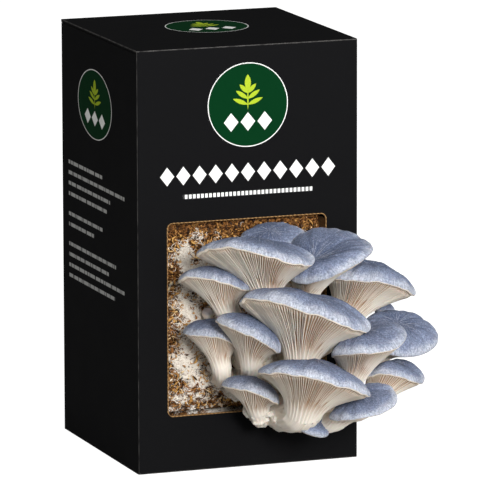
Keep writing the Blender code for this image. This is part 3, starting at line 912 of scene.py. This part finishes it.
def underside(mushroom, angles, shares):
    """The smooth underside in rows from the rim to the neck."""
    matrix = cap_frame(mushroom)
    rims = rim_points(mushroom, angles)
    inward = unit(pole_point(mushroom) - rims)
    starts = placed(matrix, rims + inward * GILL_INSET - np.array([0, 0, 0.8 * LIP_DROP]))
    _, _, below, neck = stem_line(mushroom)
    along = unit(neck - below)
    right, front = ring_axes(along, matrix)
    ends = neck + (np.outer(np.sin(angles), right) + np.outer(np.cos(angles), front)) * mushroom.neck[3]
    run = ends - starts
    height = -(run @ along)[:, None]
    across = run + along * height
    first = starts + across * 0.33 - along * 0.2 * height
    second = ends + along * 0.4 * height - across * 0.05
    return bezier(starts, first, second, ends, shares[:, None, None])


def spike(phase, middle):
    """1 at the middle of a blade, falling to 0 on both sides; phase runs from 0 to 1 and closes."""
    distance = np.abs((phase - middle + 0.5) % 1 - 0.5)
    return np.clip(1 - distance / GILL_THICKNESS, 0, 1)


def gill_crests(mushroom, shares, seed):
    """Height of the gills from 0 to 1: blades of two lengths near the rim, round ridges at the neck."""
    columns = mushroom.gills * GILL_COLUMNS
    column = np.arange(columns)
    phase = (column % GILL_COLUMNS) / GILL_COLUMNS
    rng = np.random.default_rng(seed)
    stop = rng.uniform(-0.12, 0.12, mushroom.gills)[column // GILL_COLUMNS]
    share = shares[:, None]
    second = spike(phase, 0.5) * (1 - smooth(share + stop, 0.5, 0.8))
    odd = (column // GILL_COLUMNS) % 2
    first = spike(phase, 0) * (1 - odd * smooth(share + stop, 0.62, 0.85))
    blades = np.maximum(first, 0.9 * second)
    ridges = 0.5 + 0.5 * np.cos(column * math.pi / GILL_COLUMNS)
    blend = smooth(share, 0.55, 0.95)
    return blades * (1 - blend) + ridges * blend


def cap_gills(mushroom, finish, seed):
    """The underside with its gills as relief, from the lip to the neck, where they run into the stem."""
    count = mushroom.gills * GILL_COLUMNS
    rng = np.random.default_rng(seed)
    blades = np.arange(0, count + 1, GILL_COLUMNS)
    wander = np.interp(np.arange(count), blades, rng.normal(0, GILL_WANDER, mushroom.gills + 1))
    wander[-GILL_COLUMNS:] *= np.linspace(1, 0, GILL_COLUMNS)
    wander[:GILL_COLUMNS] *= np.linspace(0, 1, GILL_COLUMNS)
    angles = around(count) + wander * (math.tau / mushroom.gills)
    rows = GILL_ROWS if mushroom.gills > MANY_GILLS else SMALL_GILL_ROWS
    shares = np.linspace(0, 1, rows) ** 1.15
    points = underside(mushroom, angles, shares)
    down = np.gradient(points, axis=0)
    side = np.roll(points, -1, axis=1) - np.roll(points, 1, axis=1)
    outward = unit(np.cross(down, side))
    crests = gill_crests(mushroom, shares, seed)
    depth = GILL_DEPTH * mushroom.rim[0] * smooth(shares, 0, 0.1) * (1 - 0.86 * smooth(shares, 0.3, 1))
    points = points + outward * ((crests - 0.35) * depth[:, None])[..., None]
    attributes = {"way": way_of(angles, shares), "crest": crests.ravel()}
    return add_mesh(f"gills_{mushroom.name}", points, ring_faces(rows, count), finish, attributes)


def cap_top(mushroom, finish, seed):
    """The skin from the pole over the rim and round the lip to where the gills start."""
    count = mushroom.gills * GILL_COLUMNS // 2
    angles = around(count)
    matrix = cap_frame(mushroom)
    pole = pole_point(mushroom)
    rims = rim_points(mushroom, angles)
    inward = unit(pole - rims)
    dome, dip = mushroom.top
    up = np.array([0, 0, 1.0])
    rows = []
    shares = [math.sin(math.pi / 2 * step / SKIN_ROWS) for step in range(1, SKIN_ROWS + 1)]
    for share in shares:
        rise = dome * (1 - share**2.2) ** DOME_FULLNESS
        hollow = dip * math.exp(-((share / 0.4) ** 2))
        row = pole + (rims - pole) * share + up * (rise - hollow)
        lumps = 0.02 * mushroom.rim[0] * ripple(row, 0.55 * mushroom.rim[0], seed)
        lumps = lumps + 0.012 * mushroom.rim[0] * share**2 * ripple(row, 5, seed + 1)
        rows.append(row + up * (lumps * (1 - share**6))[:, None])
    lips = rims + inward * LIP_INSET - up * LIP_DROP
    starts = rims + inward * GILL_INSET - up * 0.8 * LIP_DROP
    turn = rims - up * (0.6 * LIP_DROP) - inward * 0.2
    for step in range(1, LIP_ROWS + 1):
        rows.append(bezier(rims, turn, lips, starts, step / LIP_ROWS))
    top = pole + up * (dome - dip)
    points = np.concatenate([placed(matrix, top)[None], placed(matrix, np.array(rows)).reshape(-1, 3)])
    faces = ring_faces(len(rows), count, start=1)
    faces += [(0, 1 + step, 1 + (step + 1) % count) for step in range(count)]
    reach = shares + [1 + 0.1 * step / LIP_ROWS for step in range(1, LIP_ROWS + 1)]
    way = np.concatenate([[[0, 0, 0]], way_of(angles, reach)])
    return add_mesh(f"skin_{mushroom.name}", points, faces, finish, {"way": way})


def stem(mushroom, finish, seed):
    """A ridged stem that swells near its foot, where it turns lumpy and folded."""
    line = stem_line(mushroom)
    matrix = cap_frame(mushroom)
    angles = around(STEM_COLUMNS)
    rng = np.random.default_rng(seed)
    lobes = [(count, rng.uniform(0, ANY_TURN), rng.uniform(0.015, 0.04)) for count in (2, 3, 5, 8)]
    shares = np.linspace(1, 0, STEM_ROWS)
    rows = []
    for t in shares:
        point = bezier(*line, t)
        along = unit(bezier(*line, t + 0.01) - bezier(*line, t - 0.01))
        right, front = ring_axes(along, matrix)
        full = mushroom.foot[3] * (1 - t) + mushroom.neck[3] * t
        radius = full * (1 + STEM_SWELL * math.exp(-(((t - STEM_SWELL_AT) / STEM_SWELL_LENGTH) ** 2)))
        folds = sum(size * np.sin(count * angles + turn + 1.2 * t) for count, turn, size in lobes)
        folds = folds * smooth(1 - t, 0, 0.25)
        ridges = STEM_RIDGE_HEIGHT * np.cos(STEM_RIDGES * angles) * (0.35 + 0.65 * smooth(t, 0.2, 1))
        ridges = ridges * (1 + 0.8 * np.sin(3 * angles + seed + 5 * t))
        ring = np.outer(np.sin(angles), right) + np.outer(np.cos(angles), front)
        ring = point + ring * (radius * (1 + folds + ridges))[:, None]
        rows.append(ring + ring_lumps(ring, point, seed, 1 - t))
    faces = ring_faces(STEM_ROWS, STEM_COLUMNS)
    way = way_of(angles, shares)
    return add_mesh(f"stalk_{mushroom.name}", np.array(rows), faces, finish, {"way": way})


def ring_lumps(ring, middle, seed, amount):
    """Small swellings of a ring, along its own radii."""
    lumps = 0.4 * ripple(ring, 7, seed) + 0.2 * ripple(ring, 3, seed + 1)
    return unit(ring - middle) * (amount * lumps)[:, None]


def joined_foot(finish):
    """The lumpy foot where the stems grow together, kept clear of the wall below the window."""
    bm = bmesh.new()
    knobs = [(np.array(middle, float), radius) for middle, radius in FOOT_KNOBS + FOOT_LUMPS]
    for mushroom in MUSHROOMS:
        if mushroom.root != "cluster_foot":
            continue
        line = stem_line(mushroom)
        for step in range(STUB_BALLS):
            t = FOOT_STUB * step / (STUB_BALLS - 1)
            knobs.append((bezier(*line, t), mushroom.foot[3] * STUB_SWELL))
    for middle, radius in knobs:
        made = bmesh.ops.create_icosphere(bm, subdivisions=3, radius=radius * MM)
        bmesh.ops.translate(bm, vec=Vector(middle) * MM, verts=made["verts"])
    piece = object_from(bm, "foot", finish)
    remesh = piece.modifiers.new("Join", "REMESH")
    remesh.mode = "VOXEL"
    remesh.voxel_size = FOOT_VOXEL * MM
    soften = piece.modifiers.new("Smooth", "SMOOTH")
    soften.factor = 0.5
    soften.iterations = 8
    points, normals = apply_modifiers(piece)
    lumps = 0.7 * ripple(points, 9, 5) + 0.5 * ripple(points, 3.5, 6)
    grooves = 0.25 * np.sin(points[:, 0] * 1.9 + 2 * ripple(points, 14, 7))
    points = points + normals * (lumps + grooves)[:, None]
    low = points[:, 2] < WINDOW_BOTTOM + GAP
    inside = low & (points[:, 1] > FRONT - GAP)
    lift = inside & (WINDOW_BOTTOM - points[:, 2] < points[:, 1] - FRONT)
    points[lift, 2] = WINDOW_BOTTOM + GAP
    points[inside & ~lift, 1] = FRONT - GAP
    write_points(piece, points)
    return piece


def apply_modifiers(piece):
    """Keeps the modified mesh, and returns its points in millimetres and its normals."""
    graph = bpy.context.evaluated_depsgraph_get()
    finished = bpy.data.meshes.new_from_object(piece.evaluated_get(graph))
    piece.modifiers.clear()
    finished.name = piece.name
    piece.data = finished
    points = np.zeros(len(finished.vertices) * 3)
    normals = np.zeros(len(finished.vertices) * 3)
    finished.vertices.foreach_get("co", points)
    finished.vertices.foreach_get("normal", normals)
    return points.reshape(-1, 3) / MM, normals.reshape(-1, 3)


def write_points(piece, points):
    piece.data.vertices.foreach_set("co", (points * MM).ravel())
    piece.data.update()
    piece.data.shade_smooth()


def bud(finish):
    """A young button, an uneven egg."""
    bm = bmesh.new()
    bmesh.ops.create_icosphere(bm, subdivisions=5, radius=MM)
    bmesh.ops.scale(bm, vec=BUD_SIZE, verts=bm.verts)
    piece = object_from(bm, "young_bud", finish)
    points, normals = apply_modifiers(piece)
    points = points + normals * (0.18 * ripple(points, 4, 11))[:, None]
    write_points(piece, points + np.array(BUD_CENTRE))
    return piece


def fluff_at(x, z):
    """How white the substrate is at a place of its face: whitest in a broad streak on the left."""
    patches = noise.fractal(Vector((x / 11, z / 10, 3.1)), 0.7, 2.1, 4)
    near_edge = min(x - WINDOW_LEFT, WINDOW_RIGHT - x, z - WINDOW_BOTTOM, 1.3 * (WINDOW_TOP - z))
    streak = math.exp(-(((x - STREAK_X - 0.06 * (z - 90)) / STREAK_WIDTH) ** 2))
    value = 0.42 + 0.34 * streak + 0.8 * patches - 0.5 * max(0.0, 1 - near_edge / BROWN_EDGE)
    # Painted shade: the face turns brown below the window's top, where the carton's top edge shades it
    value -= 0.7 * max(0.0, 1 - (WINDOW_TOP - z) / TOP_PAINTED_SHADE)
    return min(1.0, max(0.0, value))


def bulge_depth(x, z):
    """How far back the substrate's face lies at a place: puffed where it is white, hollow where not."""
    broad = (
        0.5 * math.sin(x / 5.3 + 1.1 * math.sin(z / 9.1))
        + 0.5 * math.sin(z / 6.1 + 1.3 * math.sin(x / 7.7) + 0.8)
    )
    fine = noise.fractal(Vector((x / 4.5, z / 4.5, 8.7)), 0.7, 2.0, 3)
    crumbs = noise.fractal(Vector((x / 1.3, z / 1.3, 1.9)), 0.7, 2.0, 2)
    fluff = fluff_at(x, z)
    edge = min(x - WINDOW_LEFT, WINDOW_RIGHT - x, z - WINDOW_BOTTOM, WINDOW_TOP - z) - BULGE_CLEARANCE
    fall = BULGE_FALL * (1 - min(1.0, max(0.0, edge / BULGE_FALL_REACH))) ** 2
    hollow = (1 - fluff) * (1.1 + 3.2 * max(0.0, fine))
    return BULGE_FACE + 0.45 * (1 - broad) + fall + 0.9 * hollow - 0.5 * fine - 0.45 * crumbs


def substrate_face(finish):
    """The lumpy face of the substrate that fills the window. Its border runs back behind the strips."""
    reach = WINDOW_WIDTH / 2 - BULGE_CLEARANCE
    across = np.linspace(WINDOW_SHIFT - reach, WINDOW_SHIFT + reach, BULGE_COLUMNS)
    up = np.linspace(WINDOW_BOTTOM + BULGE_CLEARANCE, WINDOW_TOP - BULGE_CLEARANCE, BULGE_ROWS)
    points = np.array([[(x, bulge_depth(x, z), z) for x in across] for z in up])
    fluff = np.array([fluff_at(x, z) for z in up for x in across])
    border = np.zeros(points.shape[:2], bool)
    border[[0, -1]] = True
    border[:, [0, -1]] = True
    points[border, 1] = FRONT + STRIP_DEPTH
    faces = grid_faces(BULGE_ROWS, BULGE_COLUMNS)
    return add_mesh("substrate_face", points, faces, finish, {"fluff": fluff})


def substrate_block(finish):
    """The whole block, lumpy on every side. Its front lies behind the face in the window."""
    piece = linked("block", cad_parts["substrate_block"].data.copy())
    piece.data.materials.clear()
    piece.data.materials.append(finish)
    remesh = piece.modifiers.new("Even out", "REMESH")
    remesh.mode = "VOXEL"
    remesh.voxel_size = BLOCK_VOXEL * MM
    points, normals = apply_modifiers(piece)
    lumps = 0.5 * ripple(points, 16, 21) + 0.5 * ripple(points, 7, 22) - 0.8
    points = points + normals * lumps[:, None]
    face = points[:, 1] < FRONT + STRIP_DEPTH
    points[face, 1] += BLOCK_FRONT_INSET
    write_points(piece, points)
    patches = [0.5 + 0.9 * noise.fractal(Vector(point) / 17, 0.6, 2.1, 4) for point in points]
    add_values(piece.data, "fluff", np.clip(np.array(patches), 0, 1))
    return piece


def ribbons(name, lines, sides, fronts, width, thickness, finish, attributes=None):
    """Many flat or round strands in one mesh: each follows its line, four points around."""
    count, rows = lines.shape[:2]
    width = width[:, None, None] / 2
    thickness = thickness[:, None, None] / 2
    taper = np.sin(np.linspace(0.35, math.pi - 0.35, rows))[None, :, None]
    corners = [
        lines + sides * width * taper,
        lines + fronts * thickness,
        lines - sides * width * taper,
        lines - fronts * thickness,
    ]
    points = np.stack(corners, 2)
    last = 4 * rows - 1
    strand = np.array(ring_faces(rows, 4) + [[0, 1, 2, 3], [last, last - 1, last - 2, last - 3]])
    faces = (strand[None] + (np.arange(count) * rows * 4)[:, None, None]).reshape(-1, 4)
    values = {title: np.repeat(value, rows * 4) for title, value in (attributes or {}).items()}
    return add_mesh(name, points, faces.tolist(), finish, values)


def flake_lines(rng, middles, outward, across):
    """Curled centrelines of flakes that lie on a face, with their side and front directions."""
    count = len(middles)
    angle = rng.uniform(0, math.tau, count)
    other = np.cross(outward, across)
    run = np.cos(angle)[:, None] * across + np.sin(angle)[:, None] * other
    tilt = rng.normal(0, 0.45, count)[:, None]
    run = unit(run + outward * tilt)
    side = unit(np.cross(outward, run))
    front = np.cross(run, side)
    length = np.clip(rng.lognormal(0.75, 0.5, count), 0.8, 7.5)[:, None, None]
    curl = rng.normal(0, 0.16, count)[:, None, None]
    sway = rng.normal(0, 0.2, count)[:, None, None]
    t = np.linspace(-0.5, 0.5, FLAKE_POINTS)[None, :, None]
    lines = middles[:, None] + run[:, None] * length * t
    lines = lines + front[:, None] * curl * length * (1 - 4 * t * t) * 2
    lines = lines + side[:, None] * sway * length * (1 - 4 * t * t)
    twist = rng.normal(0, 0.5, count)[:, None, None] * t
    sides = side[:, None] * np.cos(twist) + front[:, None] * np.sin(twist)
    fronts = front[:, None] * np.cos(twist) - side[:, None] * np.sin(twist)
    return lines, sides, fronts


def window_flakes(finish):
    """Straw flakes caught in the face, thickest where it is brown, and darker near the window's top as
    painted shade.
    """
    rng = np.random.default_rng(FLAKE_SEED)
    middles = []
    reach = WINDOW_WIDTH / 2 - FLAKE_INSET
    while len(middles) < FLAKES:
        x = WINDOW_SHIFT + rng.uniform(-reach, reach)
        z = rng.uniform(WINDOW_BOTTOM + FLAKE_INSET, WINDOW_TOP - FLAKE_INSET)
        if rng.uniform() < 1.08 - fluff_at(x, z):
            middles.append((x, bulge_depth(x, z) - rng.uniform(-0.5, 0.7), z))
    middles = np.array(middles)
    outward, across = np.array([0, -1.0, 0]), np.array([1.0, 0, 0])
    lines, sides, fronts = flake_lines(rng, middles, outward, across)
    width = np.clip(rng.lognormal(-0.15, 0.45, FLAKES), 0.3, 2.2)
    thickness = rng.uniform(0.15, 0.35, FLAKES)
    # Painted shade: flakes darken towards the window's top, as if shaded by the carton's top edge
    below_top = np.clip((WINDOW_TOP - middles[:, 2]) / FLAKE_SHADOW, 0, 1)
    shade = {"shade": rng.uniform(0, 1, FLAKES) * (0.3 + 0.7 * below_top)}
    return ribbons("window_straw", lines, sides, fronts, width, thickness, finish, shade)


def top_flakes(finish):
    """Straw flakes on top of the block, seen when the lid is open."""
    rng = np.random.default_rng(TOP_FLAKE_SEED)
    low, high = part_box("substrate_block")
    x = rng.uniform(low.x / MM + TOP_FLAKE_INSET, high.x / MM - TOP_FLAKE_INSET, TOP_FLAKES)
    y = rng.uniform(FRONT + STRIP_DEPTH + 10, high.y / MM - TOP_FLAKE_INSET, TOP_FLAKES)
    z = np.full(TOP_FLAKES, high.z / MM - 0.5) + rng.uniform(-0.4, 0.5, TOP_FLAKES)
    middles = np.stack([x, y, z], -1)
    outward, across = np.array([0, 0, 1.0]), np.array([1.0, 0, 0])
    lines, sides, fronts = flake_lines(rng, middles, outward, across)
    width = rng.uniform(0.8, 2.2, TOP_FLAKES)
    thickness = rng.uniform(0.15, 0.4, TOP_FLAKES)
    shade = {"shade": rng.uniform(0, 1, TOP_FLAKES)}
    return ribbons("top_straw", lines, sides, fronts, width, thickness, finish, shade)


def mycelium_threads(finish):
    """Fine white threads over the white parts of the face."""
    rng = np.random.default_rng(THREAD_SEED)
    reach = WINDOW_WIDTH / 2 - THREAD_INSET
    lines = []
    while len(lines) < THREADS:
        x = WINDOW_SHIFT + rng.uniform(-reach, reach)
        z = rng.uniform(WINDOW_BOTTOM + THREAD_INSET, WINDOW_TOP - THREAD_INSET)
        if rng.uniform() > fluff_at(x, z):
            continue
        heading = rng.uniform(0, math.tau)
        pace = rng.uniform(0.4, 1.4)
        line = []
        for step in range(THREAD_POINTS):
            lift = 0.25 + 0.5 * math.sin(math.pi * step / (THREAD_POINTS - 1)) * rng.uniform(0.4, 1)
            line.append((x, bulge_depth(x, z) - lift, z))
            heading += rng.normal(0, 0.55)
            x, z = x + pace * math.cos(heading), z + pace * math.sin(heading)
            x = min(max(x, WINDOW_LEFT + THREAD_EDGE), WINDOW_RIGHT - THREAD_EDGE)
            z = min(max(z, WINDOW_BOTTOM + THREAD_EDGE), WINDOW_TOP - THREAD_EDGE)
        lines.append(line)
    lines = np.array(lines)
    run = unit(np.gradient(lines, axis=1) + 1e-6)
    outward = np.array([0, -1.0, 0])
    fronts = unit(outward - run * (run @ outward)[..., None])
    sides = np.cross(run, fronts)
    width = rng.uniform(0.14, 0.42, THREADS)
    return ribbons("mycelium_threads", lines, sides, fronts, width, width, finish)


def box_object(name, low, high, round_axis=None, radius=0.0, segments=3):
    """A box between two corners in millimetres; the edges along round_axis are rounded."""
    bm = bmesh.new()
    bmesh.ops.create_cube(bm, size=1)
    low, high = Vector(low) * MM, Vector(high) * MM
    bmesh.ops.scale(bm, vec=high - low, verts=bm.verts)
    bmesh.ops.translate(bm, vec=(low + high) / 2, verts=bm.verts)
    if round_axis:
        axis = "XYZ".index(round_axis)
        edges = [edge for edge in bm.edges if runs_along(edge, axis)]
        offset = radius * MM
        bmesh.ops.bevel(bm, geom=edges, offset=offset, segments=segments, profile=0.5, affect="EDGES")
    return object_from(bm, name)


def runs_along(edge, axis):
    run = (edge.verts[1].co - edge.verts[0].co).normalized()
    return abs(run[axis]) > 0.99


def combine(piece, others, operation):
    """Joins other objects to a piece, or cuts them from it."""
    for other in others:
        step = piece.modifiers.new(other.name, "BOOLEAN")
        step.operation = operation
        step.object = other
        step.solver = "EXACT"
        step.use_self = True


def soften_edges(piece, width):
    bevel = piece.modifiers.new("Soft edges", "BEVEL")
    bevel.width = width * MM
    bevel.segments = 2
    bevel.limit_method = "ANGLE"
    bevel.angle_limit = math.radians(35)


def finish_board(piece, tools, finishes, pick):
    """Keeps the shape, removes the tools that cut it, and gives each face the finish that pick names."""
    apply_modifiers(piece)
    for tool in tools:
        bpy.data.objects.remove(tool, do_unlink=True)
    order = list(finishes)
    for name in order:
        piece.data.materials.append(finishes[name])
    for face in piece.data.polygons:
        face.material_index = order.index(pick(face.center / MM, face.normal))
    piece.data.shade_smooth()
    weighted = piece.modifiers.new("Flat faces", "WEIGHTED_NORMAL")
    weighted.keep_sharp = True
    apply_modifiers(piece)


def carton(finishes):
    """Four walls and a bottom with the window, its strips, and soft cut edges."""
    half = WIDTH / 2
    shell = box_object("walls", (-half, FRONT, 0), (half, -FRONT, HEIGHT), "Z", CORNER, 4)
    low, high = (BOARD - half, FRONT + BOARD, BOARD), (half - BOARD, -FRONT - BOARD, HEIGHT + BOARD)
    inside = box_object("inside", low, high)
    seat = box_object("seat", (-WIDTH, FRONT + BOARD, WALL_TOP), (WIDTH, DEPTH, HEIGHT + 2 * BOARD))
    low, high = (WINDOW_LEFT, FRONT - BOARD, WINDOW_BOTTOM), (WINDOW_RIGHT, FRONT + 2 * BOARD, WINDOW_TOP)
    window = box_object("window", low, high, "Y", WINDOW_CORNER, 8)
    strips = []
    for name, edge, side in (("strip_left", WINDOW_LEFT, -1), ("strip_right", WINDOW_RIGHT, 1)):
        inner = edge + side * STRIP_SETBACK
        left, right = sorted((inner, inner + side * BOARD))
        low = (left, FRONT + BOARD / 2, WINDOW_BOTTOM + WINDOW_CORNER)
        high = (right, FRONT + STRIP_DEPTH, WINDOW_TOP - WINDOW_CORNER)
        strips.append(box_object(name, low, high, "X", STRIP_CORNER, 4))
    combine(shell, [inside, seat, window], "DIFFERENCE")
    combine(shell, strips, "UNION")
    soften_edges(shell, CUT_SOFTNESS)

    def pick(middle, normal):
        in_window = WINDOW_LEFT - WINDOW_SLACK < middle.x < WINDOW_RIGHT + WINDOW_SLACK
        in_window = in_window and WINDOW_BOTTOM - WINDOW_SLACK < middle.z < WINDOW_TOP + WINDOW_SLACK
        if middle.y < FRONT + OUTER_LAYER and not (in_window and normal.y > -0.99):
            return "front"
        if middle.x < -half + CORNER + 0.1 and normal.x < -0.3:
            return "side"
        if middle.z < 0.1:
            return "under"
        across, back = abs(middle.x), abs(middle.y)
        outer = across > half - OUTER_LAYER or back > -FRONT - OUTER_LAYER or middle.z < OUTER_LAYER
        outer = outer or (across > half - CORNER and back > -FRONT - CORNER)
        return "plain" if outer or middle.z > WALL_TOP - OUTER_LAYER else "kraft"

    finish_board(shell, [inside, seat, window, *strips], finishes, pick)
    return shell


def lid(finishes):
    """The top panel with its tuck flap."""
    half = WIDTH / 2
    back = -FRONT
    front = back - (DEPTH - BOARD - GAP)
    bottom = HINGE_Z + GAP / 2
    panel = box_object("top_panel", (-half, front, bottom), (half, back, bottom + BOARD), "Z", CORNER / 2)
    flap_half = half - TUCK_INSET
    low, high = (-flap_half, 0, -TUCK_LENGTH), (flap_half, BOARD, BOARD / 2)
    flap = box_object("tuck_flap", low, high, "Y", 1.5 * BOARD, 4)
    flap.location = Vector((0, front + BOARD * math.sin(TUCK_LEAN), bottom + BOARD / 4)) * MM
    flap.rotation_euler = (TUCK_LEAN, 0, 0)
    combine(panel, [flap], "UNION")
    soften_edges(panel, CUT_SOFTNESS)

    def pick(middle, normal):
        if normal.z > 0.4 and middle.z > HEIGHT - 0.4:
            return "top"
        on_flap = middle.z < HINGE_Z and normal.y < -0.3
        on_edge = middle.z > HINGE_Z and normal.z > -0.5
        return "plain" if on_flap or on_edge else "kraft"

    finish_board(panel, [flap], finishes, pick)
    return panel


def own(piece, body, node):
    """Says what a piece moves with, and hides the node of the model that it stands for."""
    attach(piece, body)
    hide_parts(node)


def add_carton():
    walls = {
        "front": printed_board("board_front", "X", "Z", front_print),
        "side": printed_board("board_side", "Y", "Z", side_print),
        "plain": printed_board("board_plain", "X", "Z", plain_print),
        "kraft": kraft_board(),
        "under": printed_board("board_underside", "X", "Y", underside_print),
    }
    top = printed_board("board_top", "X", "Y", top_print)
    panel = {"top": top, "plain": walls["plain"], "kraft": walls["kraft"]}
    own(carton(walls), "kit", "carton")
    own(lid(panel), "lid", "lid")


def add_substrate():
    crumb = substrate_crumb()
    straw = straw_flake()
    pieces = (
        substrate_block(crumb),
        substrate_face(crumb),
        window_flakes(straw),
        top_flakes(straw),
        mycelium_threads(mycelium_thread()),
    )
    for piece in pieces:
        own(piece, "kit", "substrate_block")


def add_mushrooms():
    skin = cap_skin()
    gill = gill_flesh()
    flesh = stem_flesh()
    for seed, mushroom in enumerate(MUSHROOMS):
        node = f"cap_{mushroom.name}"
        own(cap_top(mushroom, skin, seed), "kit", node)
        own(cap_gills(mushroom, gill, seed), "kit", node)
        own(stem(mushroom, flesh, seed), "kit", f"stem_{mushroom.name}")
    own(joined_foot(foot_flesh()), "kit", "cluster_foot")
    own(bud(bud_skin()), "kit", "bud")


def add_floor():
    bm = bmesh.new()
    bmesh.ops.create_grid(bm, x_segments=8, y_segments=8, size=6)
    bmesh.ops.translate(bm, vec=(0, 0, -FLOOR_GAP * MM), verts=bm.verts)
    floor = object_from(bm, "floor", floor_paper())


def add_lamp(name, place, target, size, power):
    data = bpy.data.lights.new(name, "AREA")
    data.shape = "SQUARE"
    data.size = size
    data.energy = power
    lamp = linked(name, data)
    lamp.location = place
    lamp.rotation_euler = (Vector(target) - Vector(place)).to_track_quat("-Z", "Y").to_euler()


def add_studio():
    """White surroundings that give more light from the front right, and the lamps."""
    world = bpy.data.worlds.new("studio")
    bpy.context.scene.world = world
    world.use_nodes = True
    tree = world.node_tree
    shader = tree.nodes["Background"]
    seen = camera_rays(tree)
    direction = Socket.added(tree, "ShaderNodeTexCoord", {}, {}, "Generated")
    from_right = direction.part("X").step(-0.6, 0.6)
    from_front = direction.part("Y").step(0.7, -0.2)
    soft = SKY_LOW + SKY_RISE * from_right * from_front
    shader.inputs["Color"].default_value = (1, 1, 1, 1)
    strength = soft * (1 - seen) + BACKDROP_GLOW * seen
    tree.links.new(strength.output, shader.inputs["Strength"])
    for name, lamp in LAMPS.items():
        add_lamp(name, *lamp)


def add_camera():
    level = math.cos(VIEW_RISE)
    back = Vector((math.sin(VIEW_TURN) * level, -math.cos(VIEW_TURN) * level, math.sin(VIEW_RISE)))
    data = bpy.data.cameras.new("camera")
    data.sensor_width = SENSOR
    data.lens = LENS
    data.clip_end = 20
    camera = linked("camera", data)
    facing = back.to_track_quat("Z", "Y").to_matrix().to_4x4() @ Matrix.Rotation(-VIEW_ROLL, 4, "Z")
    camera.matrix_world = Matrix.Translation(VIEW_TARGET + back * VIEW_DISTANCE) @ facing
    bpy.context.scene.camera = camera


bpy.context.scene.view_settings.view_transform = "Standard"
add_camera()
add_studio()
add_floor()
add_carton()
add_substrate()
add_mushrooms()
